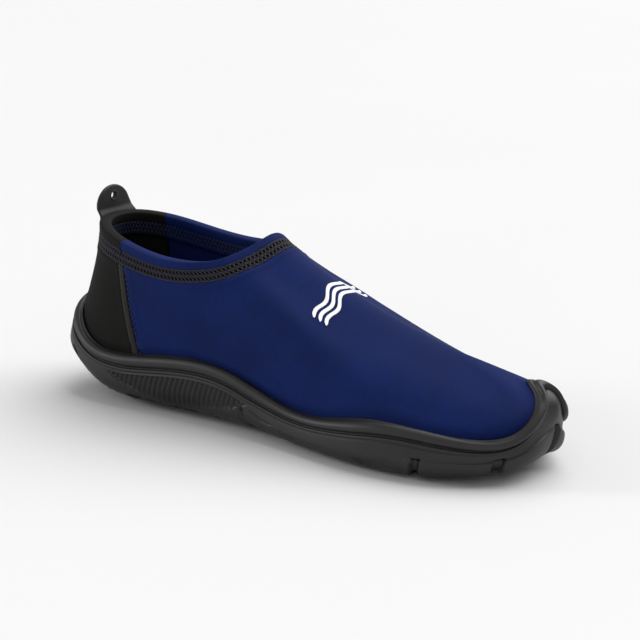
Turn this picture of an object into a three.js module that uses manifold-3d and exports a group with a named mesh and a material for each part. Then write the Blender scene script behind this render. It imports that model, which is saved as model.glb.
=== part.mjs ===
// A slip-on water shoe for the right foot: a neoprene upper in two panels, stitched round a fabric
// board, standing in a moulded rubber cup sole with a wavy rand, and a rubber pull tab at the heel.
//
// Frame: millimetres, +Z up, +X to the toe, -Y the outer side of the foot. The origin is on the
// ground, at the middle of the shoe's length and width.
//
// The shoe is drawn round stations. Station 0 is the middle of the heel, 9 the tip of the toe, 1 to 8
// run along the outer side and 10 to 17 come back along the inner side. A place on the upper is
// (u, t): u is the station, and t rises from 0 at the sole's plate to 1 at the edge of the collar.
import * as THREE from "three";
import { mergeVertices } from "three/addons/utils/BufferGeometryUtils.js";
import Module from "manifold-3d";

// ---------- Driving dimensions ----------
const SHOE_LENGTH = 281; // the outline of the sole, heel to toe; the cap of the toe swells 2 mm past it
const SHOE_WIDTH = 99; // over the rubber, at the ball of the foot
const GAP = 0.3; // between any two pieces that touch

const NEOPRENE = 3; // thickness of the upper's panels
const HEM_PLY = 2; // what the turned-in edge round the collar adds to the thickness

const COLLAR_LENGTH = 103; // the foot opening, front to back
const COLLAR_WIDTH = 64;
const COLLAR_SETBACK = 17.5; // from the heel of the rubber to the back of the opening
const HEEL_HEIGHT = 89; // the collar's edge above the ground, at the back
const ANKLE_HEIGHT = 79; // at the sides
const THROAT_HEIGHT = 92; // at the front
const THROAT_LIP = 6; // how far the edge turns up at the front

const PLATE_TOP = 9; // the sole's inner floor above the tread edge
const HEEL_SWELL = 0.56; // height of the heel's widest line, as a share of the rand's
const TOE_BEND = -0.73; // how far the side swells out round the toe, a share of its inset
const SOLE_SIDE = 7; // from the sole's widest line in to the upper, at the floor
const BEAD_WIDTH = 6; // the rounded lip along the top of the rand
const BEAD_HEIGHT = 2.2; // how proud of the upper the lip stands
const GROOVE = 1.2; // the groove under the lip
const RAND_EDGE = 1.2; // thickness of the rubber at the top, behind the lip
const TOE_EDGE = 3; // how much thicker the bumper is there
const LUG_DEPTH = 2.2;
const LUG_INSET = 4; // from the tread's edge to the lugs
const LUG_LENGTH = 9;
const LUG_PITCH = 13.5;
const LUG_SKEW = 3;

const BOARD_THICKNESS = 1.5; // the fabric board that the upper is stitched to
const BOARD_PLAY = 0.7; // between the board's edge and the upper
const FOOTBED_THICKNESS = 4;
const FOOTBED_MARGIN = 2; // all round, so that it lifts out
const FOOTBED_DISH = 2; // how much lower its middle lies

const THREAD_PLY = 0.6; // how proud a band of stitching stands
const BAND_WIDTH = 7; // the stitched band round the collar
const BAND_DROP = 5; // from the collar's edge down to that band
const SEAM_WIDTH = 6; // the flat seam between the two panels
const SEAM_STATIONS = [2.42, 1.75]; // how far round from the heel it is, outer and inner side
const SEAM_LEAN = 0.36; // stations that its foot is further forward than its head would be
const LEAN_REACH = 1.7; // stations round a seam that lean with it

const TAB_WIDTH = 24;
const TAB_ASIDE = 3; // from the middle of the heel to the middle of the tab, to the inner side
const TAB_THICKNESS = 2.2;
const TAB_RISE = 13; // above the collar's edge
const TAB_DROP = 10; // sewn on below the collar's edge
const TAB_HOLE = 3; // diameter
const TAB_HOLE_INSET = 5.5; // from the tab's tip
const TAB_HINGE_RISE = 1.6; // the bending line above the collar's edge
const TAB_STITCH = 0.8; // width of a line of stitching on it

const MARK_LENGTH = 46; // the printed mark across the instep
const MARK_STRIPE = 2; // width of each wavy stripe
const MARK_PITCH = 3.6;
const MARK_WAVE = 1.2; // height of the waves
const MARK_SETBACK = 42; // from the throat to the middle of the mark
const MARK_SLANT = 0.2; // how far it turns back for each millimetre to the inner side
const MARK_PLY = 0.4;
const MARK_LIFT = 0.5; // from the fabric up to the printed film

// Each row is a station: x, then y on the outer and the inner side, the height of the rand's top, the
// height of the tread's edge and how far that edge is tucked under. They are control values of a
// cubic B-spline, which runs a little inside them.
const SOLE_STATIONS = [
  [-142, 2, 2, 48, 15, 15],
  [-135, -25, 27, 42, 11, 15],
  [-107, -38, 36, 23, 2.5, 12],
  [-64, -37, 33, 29.5, 3.5, 9],
  [-20, -36, 31, 34, 4.5, 8],
  [26, -43, 40, 13, 2.5, 8],
  [72, -51, 48, 27, 1.2, 8],
  [114, -43.5, 41, 21.5, 3, 7],
  [145, -22, 10, 19.5, 7.7, 6],
  [142, 3, 3, 54, 10.7, 6],
];
// The same stations on the collar's edge: x, y on the outer and the inner side, and how much of the
// climb from the ankle's height to the heel's, or to the throat's, is done there.
const COLLAR_STATIONS = [
  [-129, 2, 2, 1],
  [-124, -15, 17, 1],
  [-106, -28, 28, 0.7],
  [-80, -33, 31, 0.2],
  [-58, -34, 31, 0],
  [-36, -30, 27, 0.2],
  [-28, -22, 20, 0.57],
  [-23, -13, 12, 0.81],
  [-21, -6, 6, 0.95],
  [-20.5, 0, 0, 1],
];
// The same stations: how far the upper bulges out and rises above the sole's plate, then how far its
// upper handle reaches from the collar back to the sole, as a share, and that handle's height.
const SECTION_STATIONS = [
  [4, 22, 0.1, 62],
  [4, 22, 0.15, 60],
  [3, 22, 0.22, 55],
  [3, 22, 0.25, 55],
  [3, 24, 0.28, 56],
  [3, 26, 0.35, 60],
  [2, 24, 0.44, 63],
  [3, 15, 0.45, 50.7],
  [26, 21.8, 0.87, 22],
  [9.7, 50, 1.05, 21.4],
];
const STATIONS = 2 * (SOLE_STATIONS.length - 1);
const TOE = STATIONS / 2;

// How finely the faceted solids are cut.
const ROUND_STEPS = 72; // round the whole shoe
const UP_STEPS = 13; // from the sole up to the stitched band
const INSIDE_STEPS = 18; // up the inside of the rand

// ---------- Curves ----------
const mix = (a, b, share) => a + (b - a) * share;

// A column of a table as a closed ring of control values, the inner side mirroring the outer.
function closedRing(rows, outer, inner = outer) {
  const back = rows.slice(1, -1).reverse();
  return [...rows.map((row) => row[outer]), ...back.map((row) => row[inner])];
}

// A closed uniform cubic B-spline through the ring's control values.
function onRing(ring, u) {
  const start = Math.floor(u);
  const f = u - start;
  const weights = [
    (1 - f) ** 3,
    3 * f ** 3 - 6 * f ** 2 + 4,
    -3 * f ** 3 + 3 * f ** 2 + 3 * f + 1,
    f ** 3,
  ];
  const n = ring.length;
  return weights.reduce((sum, w, k) => sum + (w * ring[(start - 1 + k + 2 * n) % n]) / 6, 0);
}

const rings = {
  x: closedRing(SOLE_STATIONS, 0),
  y: closedRing(SOLE_STATIONS, 1, 2),
  rand: closedRing(SOLE_STATIONS, 3),
  lift: closedRing(SOLE_STATIONS, 4),
  tuck: closedRing(SOLE_STATIONS, 5),
  bulge: closedRing(SECTION_STATIONS, 0),
  rise: closedRing(SECTION_STATIONS, 1),
  reach: closedRing(SECTION_STATIONS, 2),
  handle: closedRing(SECTION_STATIONS, 3),
  collarX: closedRing(COLLAR_STATIONS, 0),
  collarY: closedRing(COLLAR_STATIONS, 1, 2),
  climb: closedRing(COLLAR_STATIONS, 3),
};

// The drawn outline is stretched to the shoe's length and width, and centred on the origin.
function stretch(ring, size) {
  const along = Array.from({ length: 360 }, (_, i) => onRing(ring, (i * STATIONS) / 360));
  const low = Math.min(...along);
  const high = Math.max(...along);
  return { scale: size / (high - low), middle: (low + high) / 2 };
}
const lengthwise = stretch(rings.x, SHOE_LENGTH);
const widthwise = stretch(rings.y, SHOE_WIDTH);

// The sole's widest line, seen from above.
function outline(u) {
  return new THREE.Vector2(
    (onRing(rings.x, u) - lengthwise.middle) * lengthwise.scale,
    (onRing(rings.y, u) - widthwise.middle) * widthwise.scale,
  );
}

function outwards(u) {
  const along = outline(u + 0.01).sub(outline(u - 0.01));
  return new THREE.Vector2(along.y, -along.x).normalize();
}

const collarLengthwise = stretch(rings.collarX, COLLAR_LENGTH);
const collarWidthwise = stretch(rings.collarY, COLLAR_WIDTH);
const collarMiddle = -SHOE_LENGTH / 2 + COLLAR_SETBACK + COLLAR_LENGTH / 2;

// How far forward a station is: 0 at the heel, 1 at the toe.
const frontness = (u) => (1 - Math.cos((2 * Math.PI * u) / STATIONS)) / 2;

function collarEdge(u) {
  const front = THREE.MathUtils.smoothstep(frontness(u), 0.3, 0.7);
  const end = mix(HEEL_HEIGHT, THROAT_HEIGHT - THROAT_LIP, front);
  return new THREE.Vector3(
    collarMiddle + (onRing(rings.collarX, u) - collarLengthwise.middle) * collarLengthwise.scale,
    (onRing(rings.collarY, u) - collarWidthwise.middle) * collarWidthwise.scale,
    mix(ANKLE_HEIGHT, end, onRing(rings.climb, u)),
  );
}

// The outer face of the upper.
function upperPoint(u, t) {
  const side = outline(u).addScaledVector(outwards(u), -SOLE_SIDE);
  const floor = onRing(rings.lift, u) + PLATE_TOP + GAP;
  const bulge = outwards(u).multiplyScalar(onRing(rings.bulge, u)).add(side);
  const edge = collarEdge(u);
  const reach = onRing(rings.reach, u);
  const foot = new THREE.Vector3(side.x, side.y, floor);
  const low = new THREE.Vector3(bulge.x, bulge.y, floor + onRing(rings.rise, u));
  const high = new THREE.Vector3(
    mix(edge.x, side.x, reach),
    mix(edge.y, side.y, reach),
    onRing(rings.handle, u),
  );
  const point = new THREE.CubicBezierCurve3(foot, low, high, edge).getPoint(t);
  point.z += THROAT_LIP * frontness(u) ** 4 * t ** 14;
  return point;
}

function upperNormal(u, t) {
  const step = 0.004;
  const low = Math.min(t, 1 - step);
  const along = upperPoint(u + step, t).sub(upperPoint(u - step, t));
  const up = upperPoint(u, low + step).sub(upperPoint(u, low));
  return along.cross(up).normalize();
}

function offUpper(u, t, distance) {
  return upperPoint(u, t).addScaledVector(upperNormal(u, t), distance);
}

// The t at which the upper, or a face at some distance from it, passes a height.
function tAtHeight(u, height, distance = 0) {
  let low = 0;
  let high = 1;
  for (let i = 0; i < 24; i++) {
    const middle = (low + high) / 2;
    if (offUpper(u, middle, distance).z < height) low = middle;
    else high = middle;
  }
  return low;
}

// The t a given way down from the collar's edge.
function tBelowEdge(u, drop) {
  const steps = 60;
  let left = drop;
  for (let i = steps; i > 0; i--) {
    const length = upperPoint(u, i / steps).distanceTo(upperPoint(u, (i - 1) / steps));
    if (length >= left) return (i - left / length) / steps;
    left -= length;
  }
  return 0;
}

// ---------- Solids ----------
const wasm = await Module();
wasm.setup();

// One closed geometry from triangles, without the ones that have shrunk to a line.
function closedGeometry(triangles) {
  const loose = new THREE.BufferGeometry();
  const numbers = triangles.flat().flatMap((p) => [p.x, p.y, p.z]);
  loose.setAttribute("position", new THREE.Float32BufferAttribute(numbers, 3));
  const geometry = mergeVertices(loose, 1e-4);
  const index = geometry.index.array;
  const kept = [];
  for (let i = 0; i < index.length; i += 3) {
    const [a, b, c] = index.slice(i, i + 3);
    if (a !== b && b !== c && c !== a) kept.push(a, b, c);
  }
  geometry.setIndex(kept);
  geometry.computeVertexNormals();
  return geometry;
}

// The triangles of a grid of points; flip turns their faces round.
function gridTriangles(grid, flip = false) {
  const triangles = [];
  for (let i = 0; i + 1 < grid.length; i++) {
    for (let j = 0; j + 1 < grid[i].length; j++) {
      const corners = [grid[i][j], grid[i + 1][j], grid[i + 1][j + 1], grid[i][j + 1]];
      const [a, b, c, d] = flip ? corners.reverse() : corners;
      triangles.push([a, b, c], [a, c, d]);
    }
  }
  return triangles;
}

// A skin on the upper between two faces, outer and inner, each a function of (i, j).
function skin(columns, rows, outer, inner, closed = false) {
  const face = (at) =>
    Array.from({ length: columns + 1 }, (_, i) =>
      Array.from({ length: rows + 1 }, (_, j) => at((closed ? i % columns : i) / columns, j / rows)),
    );
  const out = face(outer);
  const into = face(inner);
  const rim = (pick) => into.map((line, i) => [line[pick], out[i][pick]]);
  const triangles = [
    ...gridTriangles(out),
    ...gridTriangles(into, true),
    ...gridTriangles(rim(0)),
    ...gridTriangles(rim(rows), true),
  ];
  if (!closed) {
    const side = (i) => into[i].map((point, j) => [point, out[i][j]]);
    triangles.push(...gridTriangles(side(0), true), ...gridTriangles(side(columns)));
  }
  return closedGeometry(triangles);
}

// The flat that closes a ring of points, laid in strips from the outer side to the inner side.
function lid(ring, strips, dish = 0) {
  const n = ring.length;
  return Array.from({ length: n / 2 + 1 }, (_, i) =>
    Array.from({ length: strips + 1 }, (_, j) => {
      const share = j / strips;
      const point = ring[i].clone().lerp(ring[(n - i) % n], share);
      point.z -= dish * 4 * share * (1 - share) * Math.sin((Math.PI * i) / (n / 2));
      return point;
    }),
  );
}

// A solid from rings that run upwards, closed by a lid at the bottom and at the top.
function ringStack(stack, strips, topDish = 0) {
  const around = stack[0].map((_, i) => stack.map((ring) => ring[i]));
  return closedGeometry([
    ...gridTriangles([...around, around[0]]),
    ...gridTriangles(lid(stack[0], strips), true),
    ...gridTriangles(lid(stack.at(-1), strips, topDish)),
  ]);
}

const stationsRound = Array.from({ length: ROUND_STEPS }, (_, i) => (i * STATIONS) / ROUND_STEPS);
const ringOf = (at) => stationsRound.map(at);

function toManifold(geometry) {
  const bare = geometry.clone();
  bare.deleteAttribute("normal");
  bare.deleteAttribute("uv");
  const merged = mergeVertices(bare, 1e-4);
  return new wasm.Manifold(
    new wasm.Mesh({
      numProp: 3,
      vertProperties: new Float32Array(merged.attributes.position.array),
      triVerts: new Uint32Array(merged.index.array),
    }),
  );
}

function fromManifold(solid) {
  const mesh = solid.getMesh();
  const geometry = new THREE.BufferGeometry();
  geometry.setAttribute("position", new THREE.BufferAttribute(mesh.vertProperties, 3));
  geometry.setIndex(new THREE.BufferAttribute(mesh.triVerts, 1));
  geometry.computeVertexNormals();
  return geometry;
}

// ---------- The sole ----------
// A section of the sole's side, from the floor up the inside, over the bead and down to the tread.
function soleSection(u) {
  const plan = outline(u);
  const out = outwards(u);
  const lift = onRing(rings.lift, u);
  const randTop = onRing(rings.rand, u);
  const at = (offset, z) => new THREE.Vector3(plan.x + out.x * offset, plan.y + out.y * offset, z);
  const floorCorner = offUpper(u, 0, GAP).setZ(lift + PLATE_TOP);

  const tTop = tAtHeight(u, randTop);
  const inside = Array.from({ length: INSIDE_STEPS }, (_, k) =>
    offUpper(u, (tTop * (k + 1)) / INSIDE_STEPS, GAP),
  );

  // The side bulges from under the lip down to the widest line; the lip and the groove follow it.
  const top = inside.at(-1);
  const front = frontness(u) ** 12;
  const edge = RAND_EDGE + TOE_EDGE * front;
  const inset = (plan.x - top.x) * out.x + (plan.y - top.y) * out.y - edge;
  const heel = 1 - THREE.MathUtils.smoothstep(frontness(u), 0.04, 0.25);
  const widest = mix(lift, randTop, mix(0.4, HEEL_SWELL, heel));
  const side = new THREE.QuadraticBezierCurve(
    new THREE.Vector2(-inset, top.z),
    new THREE.Vector2(-mix(0.25, TOE_BEND, front) * inset, mix(widest, top.z, 0.75)),
    new THREE.Vector2(0, widest),
  );
  const length = side.getLength();
  const bead = Math.min(BEAD_WIDTH, length / 2);
  const onSide = (way, height) => {
    const share = way / length;
    const point = side.getPointAt(share);
    const along = side.getTangentAt(share);
    return at(point.x - along.y * height, point.y + along.x * height);
  };
  const proud = BEAD_HEIGHT - RAND_EDGE;
  const sidewall = [
    onSide(0.1 * bead, proud * 0.7),
    onSide(0.5 * bead, proud),
    onSide(0.9 * bead, proud * 0.4),
    onSide(bead, -GROOVE),
    onSide(1.2 * bead, 0),
    onSide((1.2 * bead + length) / 2, 0),
    at(0, widest),
    at(-0.3 * onRing(rings.tuck, u), mix(lift, widest, 0.45)),
    at(-onRing(rings.tuck, u), lift),
  ];
  return [floorCorner, ...inside, ...sidewall];
}

// The tread's base and edges at a place along the shoe, found from the sole's lowest ring.
function treadAt(x, side) {
  const [from, to] = side < 0 ? [0, TOE] : [STATIONS, TOE];
  let low = from;
  let high = to;
  const edge = (u) => {
    const inwards = outwards(u).multiplyScalar(-onRing(rings.tuck, u));
    return outline(u).add(inwards);
  };
  for (let i = 0; i < 30; i++) {
    const middle = (low + high) / 2;
    if (edge(middle).x < x) low = middle;
    else high = middle;
  }
  return { y: edge(low).y, base: onRing(rings.lift, low) };
}

// One lug: a skewed block from its foot up into the sole's plate.
function lug(x, inner, outer, skew, foot, top) {
  const shape = new THREE.Shape([
    new THREE.Vector2(x - LUG_LENGTH / 2, inner),
    new THREE.Vector2(x + LUG_LENGTH / 2, inner),
    new THREE.Vector2(x + LUG_LENGTH / 2 + skew, outer),
    new THREE.Vector2(x - LUG_LENGTH / 2 + skew, outer),
  ]);
  const geometry = new THREE.ExtrudeGeometry(shape, { depth: top - foot, bevelEnabled: false });
  return geometry.translate(0, 0, foot);
}

function lugs() {
  const channel = 3; // half the groove that runs along the middle of the tread
  const span = SHOE_LENGTH / 2 - LUG_LENGTH - 4 * LUG_INSET;
  const rows = Math.floor((2 * span) / LUG_PITCH);
  const made = [];
  for (let i = 0; i <= rows; i++) {
    const x = mix(-span, span - LUG_SKEW, i / rows);
    const sides = [-1, 1].map((side) => ({ side, ...treadAt(x, side) }));
    for (const { side, y, base } of sides) {
      const foot = Math.max(0, base - LUG_DEPTH);
      const edge = y - side * LUG_INSET;
      const middle = mix(side * channel, edge, 0.5);
      const top = base + PLATE_TOP / 2;
      made.push(lug(x, side * channel, middle - side * 1.5, LUG_SKEW, foot, top));
      made.push(lug(x, middle + side * 1.5, edge, -LUG_SKEW, foot, top));
    }
  }
  return made;
}

function outsole() {
  const sections = stationsRound.map(soleSection);
  const stack = sections[0].map((_, k) => sections.map((section) => section[k])).reverse();
  const cup = toManifold(ringStack(stack, 4));
  const whole = lugs().reduce((sum, block) => sum.add(toManifold(block)), cup);
  return fromManifold(whole);
}

// ---------- Inside the shoe ----------
// A ring inside the upper at a height over the sole's floor, drawn in by a margin.
function innerRing(margin, height) {
  const depth = -NEOPRENE - GAP;
  return ringOf((u) => {
    const level = onRing(rings.lift, u) + PLATE_TOP + height;
    const wall = offUpper(u, tAtHeight(u, level, depth), depth);
    const inwards = outwards(u).multiplyScalar(-margin);
    return new THREE.Vector3(wall.x + inwards.x, wall.y + inwards.y, level);
  });
}

function strobelBoard() {
  const top = GAP + BOARD_THICKNESS;
  return ringStack([innerRing(BOARD_PLAY, GAP), innerRing(BOARD_PLAY, top)], 2);
}

function footbed() {
  const under = 2 * GAP + BOARD_THICKNESS;
  const rings = [
    innerRing(FOOTBED_MARGIN + 0.5, under),
    innerRing(FOOTBED_MARGIN, under + 0.6 * FOOTBED_THICKNESS),
    innerRing(FOOTBED_MARGIN + 1, under + FOOTBED_THICKNESS),
  ];
  return ringStack(rings, 4, FOOTBED_DISH);
}

// The thread that joins the upper's lower edge to the board: a flat ring lying on both.
function strobelSeam() {
  const height = GAP + BOARD_THICKNESS + GAP;
  const ply = 0.8;
  const bottom = innerRing(FOOTBED_MARGIN - GAP - 0.2, height);
  const top = innerRing(FOOTBED_MARGIN - GAP - 0.2, height + ply);
  const outerTop = innerRing(BOARD_PLAY, height + ply);
  const outerBottom = innerRing(BOARD_PLAY, height);
  const rings = [bottom, outerBottom, outerTop, top, bottom];
  const around = bottom.map((_, i) => rings.map((ring) => ring[i]));
  return closedGeometry(gridTriangles([...around, around[0]]));
}

// ---------- The upper ----------
// The station of the seam on the outer (0) or the inner (1) side, and the panels' edges beside it.
const seamStation = [SEAM_STATIONS[0], STATIONS - SEAM_STATIONS[1]];

function besideSeam(side, way) {
  const u = seamStation[side];
  return u + (way * GAP) / upperPoint(u + 0.5, 0.5).distanceTo(upperPoint(u - 0.5, 0.5));
}

// The rows of a panel over its plain part: the way down from the collar's edge, and how far the
// outer face stands back and the inner one stands in. The turned-in edge starts under the band.
const HEM_ROWS = [
  { drop: BAND_DROP + BAND_WIDTH, back: 0, depth: NEOPRENE + HEM_PLY },
  { drop: BAND_DROP + BAND_WIDTH / 2, back: 0, depth: NEOPRENE + HEM_PLY },
  { drop: BAND_DROP, back: 0, depth: NEOPRENE + HEM_PLY },
  { drop: BAND_DROP / 4, back: 0, depth: NEOPRENE + HEM_PLY },
  { drop: 0, back: 0.25 * NEOPRENE, depth: 0.75 * NEOPRENE + HEM_PLY },
];

// A panel of the upper from one station to another. Its columns stand where the sole's do.
// Lines up a panel lean with the seams at its ends.
function leaned(u, t) {
  const near = seamStation.map((seam) => {
    const away = THREE.MathUtils.euclideanModulo(u - seam + TOE, STATIONS) - TOE;
    return 1 - THREE.MathUtils.smoothstep(Math.abs(away), 0, LEAN_REACH);
  });
  return u + SEAM_LEAN * (1 - t) * (near[0] - near[1]);
}

function panel(from, to) {
  const step = STATIONS / ROUND_STEPS;
  const first = Math.floor(from / step);
  const columns = Math.ceil(to / step) - first;
  const rows = UP_STEPS + HEM_ROWS.length;
  const face = (side) => (i, j) => {
    const u = THREE.MathUtils.clamp((first + i * columns) * step, from, to);
    const row = Math.round(j * rows);
    const hem = HEM_ROWS[row - UP_STEPS - 1];
    if (hem) {
      const t = tBelowEdge(u, hem.drop);
      return offUpper(leaned(u, t), t, -hem[side]);
    }
    const plainTop = tBelowEdge(u, BAND_DROP + BAND_WIDTH + HEM_PLY / 2);
    const t = (plainTop * row) / UP_STEPS;
    return offUpper(leaned(u, t), t, side === "back" ? 0 : -NEOPRENE);
  };
  return skin(columns, rows, face("back"), face("depth"));
}

function vamp() {
  return panel(besideSeam(0, 1), besideSeam(1, -1));
}

function heelPanel() {
  return panel(besideSeam(1, 1) - STATIONS, besideSeam(0, -1));
}

// A band that lies on the outer face of the upper, between two places across it.
function laidOn(columns, rows, place, ply, lift = GAP, closed = false) {
  return skin(
    columns,
    rows,
    (i, j) => offUpper(...place(i, j), lift + ply),
    (i, j) => offUpper(...place(i, j), lift),
    closed,
  );
}

function collarBand() {
  return laidOn(
    ROUND_STEPS,
    2,
    (i, j) => {
      const u = i * STATIONS;
      return [u, tBelowEdge(u, mix(BAND_DROP + BAND_WIDTH, BAND_DROP, j))];
    },
    THREAD_PLY,
    GAP,
    true,
  );
}

// The flat seam at the edge of the heel panel, from above the rand to below the collar's band.
function heelSeam(side) {
  const middle = seamStation[side];
  const foot = tAtHeight(middle, onRing(rings.rand, middle) + BEAD_HEIGHT + 2);
  const head = tBelowEdge(middle, BAND_DROP + BAND_WIDTH + 1);
  return laidOn(
    3,
    8,
    (i, j) => {
      const t = mix(foot, head, j);
      const station = upperPoint(middle + 0.5, t).distanceTo(upperPoint(middle - 0.5, t));
      return [leaned(middle, t) + ((i - 0.5) * SEAM_WIDTH) / station, t];
    },
    THREAD_PLY,
  );
}

// ---------- The pull tab ----------
// The tab stands behind the collar, in a plane across the shoe.
const tabBack = collarEdge(0);
const tabSeat = offUpper(0, tBelowEdge(0, TAB_DROP), GAP + THREAD_PLY);
const tabFace = Math.min(tabBack.x, tabSeat.x) - GAP;
const tabMiddle = tabBack.y + TAB_ASIDE;
const hingeHeight = tabBack.z + TAB_HINGE_RISE;

// An outline in (y, z) made into a plate of the tab's thickness.
function tabPlate(shape, thickness = TAB_THICKNESS, face = tabFace) {
  const settings = { depth: thickness, bevelEnabled: false, curveSegments: 10 };
  const geometry = new THREE.ExtrudeGeometry(shape, settings);
  geometry.applyMatrix4(new THREE.Matrix4().set(0, 0, 1, 0, 1, 0, 0, 0, 0, 1, 0, 0, 0, 0, 0, 1));
  return geometry.translate(face - thickness, tabMiddle, 0);
}

function tabFlap() {
  const tip = tabBack.z + TAB_RISE;
  const half = TAB_WIDTH / 2;
  const foot = hingeHeight + (TAB_THICKNESS + GAP) / 2; // it can turn without meeting the base
  const shoulder = Math.max(foot + 1, tip - half);
  const shape = new THREE.Shape();
  shape.moveTo(-half, foot);
  shape.lineTo(half, foot);
  shape.lineTo(half, shoulder);
  shape.absellipse(0, shoulder, half, tip - shoulder, 0, Math.PI, false);
  shape.closePath();
  const hole = new THREE.Path();
  hole.absarc(0, tip - TAB_HOLE_INSET, TAB_HOLE / 2, 0, 2 * Math.PI, false);
  shape.holes.push(hole);
  return tabPlate(shape);
}

function tabBase() {
  const half = TAB_WIDTH / 2;
  const corner = 1.5;
  const low = tabBack.z - TAB_DROP;
  const shape = new THREE.Shape();
  shape.moveTo(-half + corner, low);
  shape.lineTo(half - corner, low);
  shape.lineTo(half, low + corner);
  shape.lineTo(half, hingeHeight - GAP / 2);
  shape.lineTo(-half, hingeHeight - GAP / 2);
  shape.lineTo(-half, low + corner);
  shape.closePath();
  return tabPlate(shape);
}

// A frame of stitching on the back of the sewn part.
function tabStitching() {
  const half = TAB_WIDTH / 2 - 2;
  const low = tabBack.z - TAB_DROP + 1.6;
  const high = tabBack.z - 0.5;
  const box = (Kind, inset) => {
    const path = new Kind();
    path.moveTo(-half + inset, low + inset);
    path.lineTo(half - inset, low + inset);
    path.lineTo(half - inset, high - inset);
    path.lineTo(-half + inset, high - inset);
    path.closePath();
    return path;
  };
  const shape = box(THREE.Shape, 0);
  shape.holes.push(box(THREE.Path, TAB_STITCH));
  return tabPlate(shape, TAB_STITCH / 2, tabFace - TAB_THICKNESS - GAP);
}

// ---------- The printed mark ----------
// A place on the upper's ridge: how far across it, and how far in front of the throat.
function onInstep(across, ahead) {
  const edge = upperPoint(TOE, 1).x;
  const target = new THREE.Vector2(edge + ahead, across);
  let u = TOE + (across < 0 ? -1 : 1);
  let t = 0.6;
  for (let i = 0; i < 12; i++) {
    const step = 0.01;
    const here = upperPoint(u, t);
    const byU = upperPoint(u + step, t).sub(here).divideScalar(step);
    const byT = upperPoint(u, t - step).sub(here).divideScalar(-step);
    const miss = new THREE.Vector2(target.x - here.x, target.y - here.y);
    const det = byU.x * byT.y - byT.x * byU.y;
    u += THREE.MathUtils.clamp((miss.x * byT.y - byT.x * miss.y) / det, -1, 1);
    t = THREE.MathUtils.clamp(t + (byU.x * miss.y - miss.x * byU.y) / det, 0.05, 0.98);
  }
  return [u, t];
}

function waveStripe(place) {
  return laidOn(
    24,
    1,
    (i, j) => {
      const across = (i - 0.5) * MARK_LENGTH;
      const wave = MARK_WAVE * Math.sin(i * 3 * 2 * Math.PI);
      const ahead = MARK_SETBACK - MARK_SLANT * across + place - wave;
      return onInstep(across, ahead - (j - 0.5) * MARK_STRIPE);
    },
    MARK_PLY,
    MARK_LIFT,
  );
}

// ---------- Materials ----------
const finish = (color, roughness) => new THREE.MeshStandardMaterial({ color, roughness, metalness: 0 });
const rubber = finish(0x343434, 0.55);
const navyNeoprene = finish(0x1d2c5c, 0.85);
const blackNeoprene = finish(0x1c1b1a, 0.85);
const thread = finish(0x23222a, 0.9);
const board = finish(0xb9b4a8, 0.95);
const foam = finish(0x18204a, 0.9);
const ink = finish(0xf2f2f2, 0.5);

// ---------- Assembly ----------
const shoe = new THREE.Group();
function add(name, geometry, material) {
  const mesh = new THREE.Mesh(geometry, material);
  mesh.name = name;
  shoe.add(mesh);
}

add("outsole", outsole(), rubber);
add("strobel_board", strobelBoard(), board);
add("strobel_seam", strobelSeam(), thread);
add("footbed", footbed(), foam);
add("vamp", vamp(), navyNeoprene);
add("heel_panel", heelPanel(), blackNeoprene);
add("collar_coverstitch", collarBand(), thread);
add("heel_seam_outer", heelSeam(0), thread);
add("heel_seam_inner", heelSeam(1), thread);
add("pull_tab_base", tabBase(), rubber);
add("pull_tab_flap", tabFlap(), rubber);
add("pull_tab_stitching", tabStitching(), thread);
for (let i = 0; i < 3; i++) {
  add(`instep_wave_${i + 1}`, waveStripe((i - 1) * MARK_PITCH), ink);
}

export default shoe;
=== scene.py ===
"""A slip-on water shoe for the right foot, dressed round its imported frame.

Metres, +X to the toe, -Y the outer side of the foot, +Z up. The shapes are worked out in
millimetres, and each mesh is scaled down as it is made.

The shoe is drawn round stations: 0 is the middle of the heel, 9 the tip of the toe, 1 to 8 run
along the outer side and 10 to 17 come back along the inner side. A place on the upper is (u, t):
u is the station, and t rises from 0 at the sole's floor to 1 at the edge of the collar.
"""

import math
from collections import namedtuple

import bmesh
import bpy
import numpy as np
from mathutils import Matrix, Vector


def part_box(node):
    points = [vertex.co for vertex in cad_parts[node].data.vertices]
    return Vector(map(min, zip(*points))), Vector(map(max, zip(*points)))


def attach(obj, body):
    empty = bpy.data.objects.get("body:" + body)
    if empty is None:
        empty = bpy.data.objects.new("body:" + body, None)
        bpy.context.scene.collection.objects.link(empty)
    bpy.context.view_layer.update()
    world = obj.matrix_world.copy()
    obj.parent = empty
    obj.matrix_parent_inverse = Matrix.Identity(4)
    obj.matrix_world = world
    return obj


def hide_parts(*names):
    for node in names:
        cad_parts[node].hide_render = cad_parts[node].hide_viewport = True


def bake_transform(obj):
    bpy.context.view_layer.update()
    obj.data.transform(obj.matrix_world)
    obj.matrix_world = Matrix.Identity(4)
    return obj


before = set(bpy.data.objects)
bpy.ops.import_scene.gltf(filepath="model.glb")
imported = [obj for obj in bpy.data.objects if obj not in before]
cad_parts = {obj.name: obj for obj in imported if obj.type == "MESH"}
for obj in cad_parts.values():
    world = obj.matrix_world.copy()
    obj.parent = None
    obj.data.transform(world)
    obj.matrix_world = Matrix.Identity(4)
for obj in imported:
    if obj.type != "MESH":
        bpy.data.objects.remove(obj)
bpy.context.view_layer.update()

# ---------- Sizes, in millimetres ----------
MM = 0.001
SHOE_LENGTH, SHOE_WIDTH = 281, 99
GAP = 0.3

NEOPRENE = 3
HEM_PLY = 2
COLLAR_LENGTH, COLLAR_WIDTH = 103, 64
COLLAR_SETBACK = 17.5
HEEL_HEIGHT, ANKLE_HEIGHT, THROAT_HEIGHT = 89, 79, 92
THROAT_LIP = 6

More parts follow.
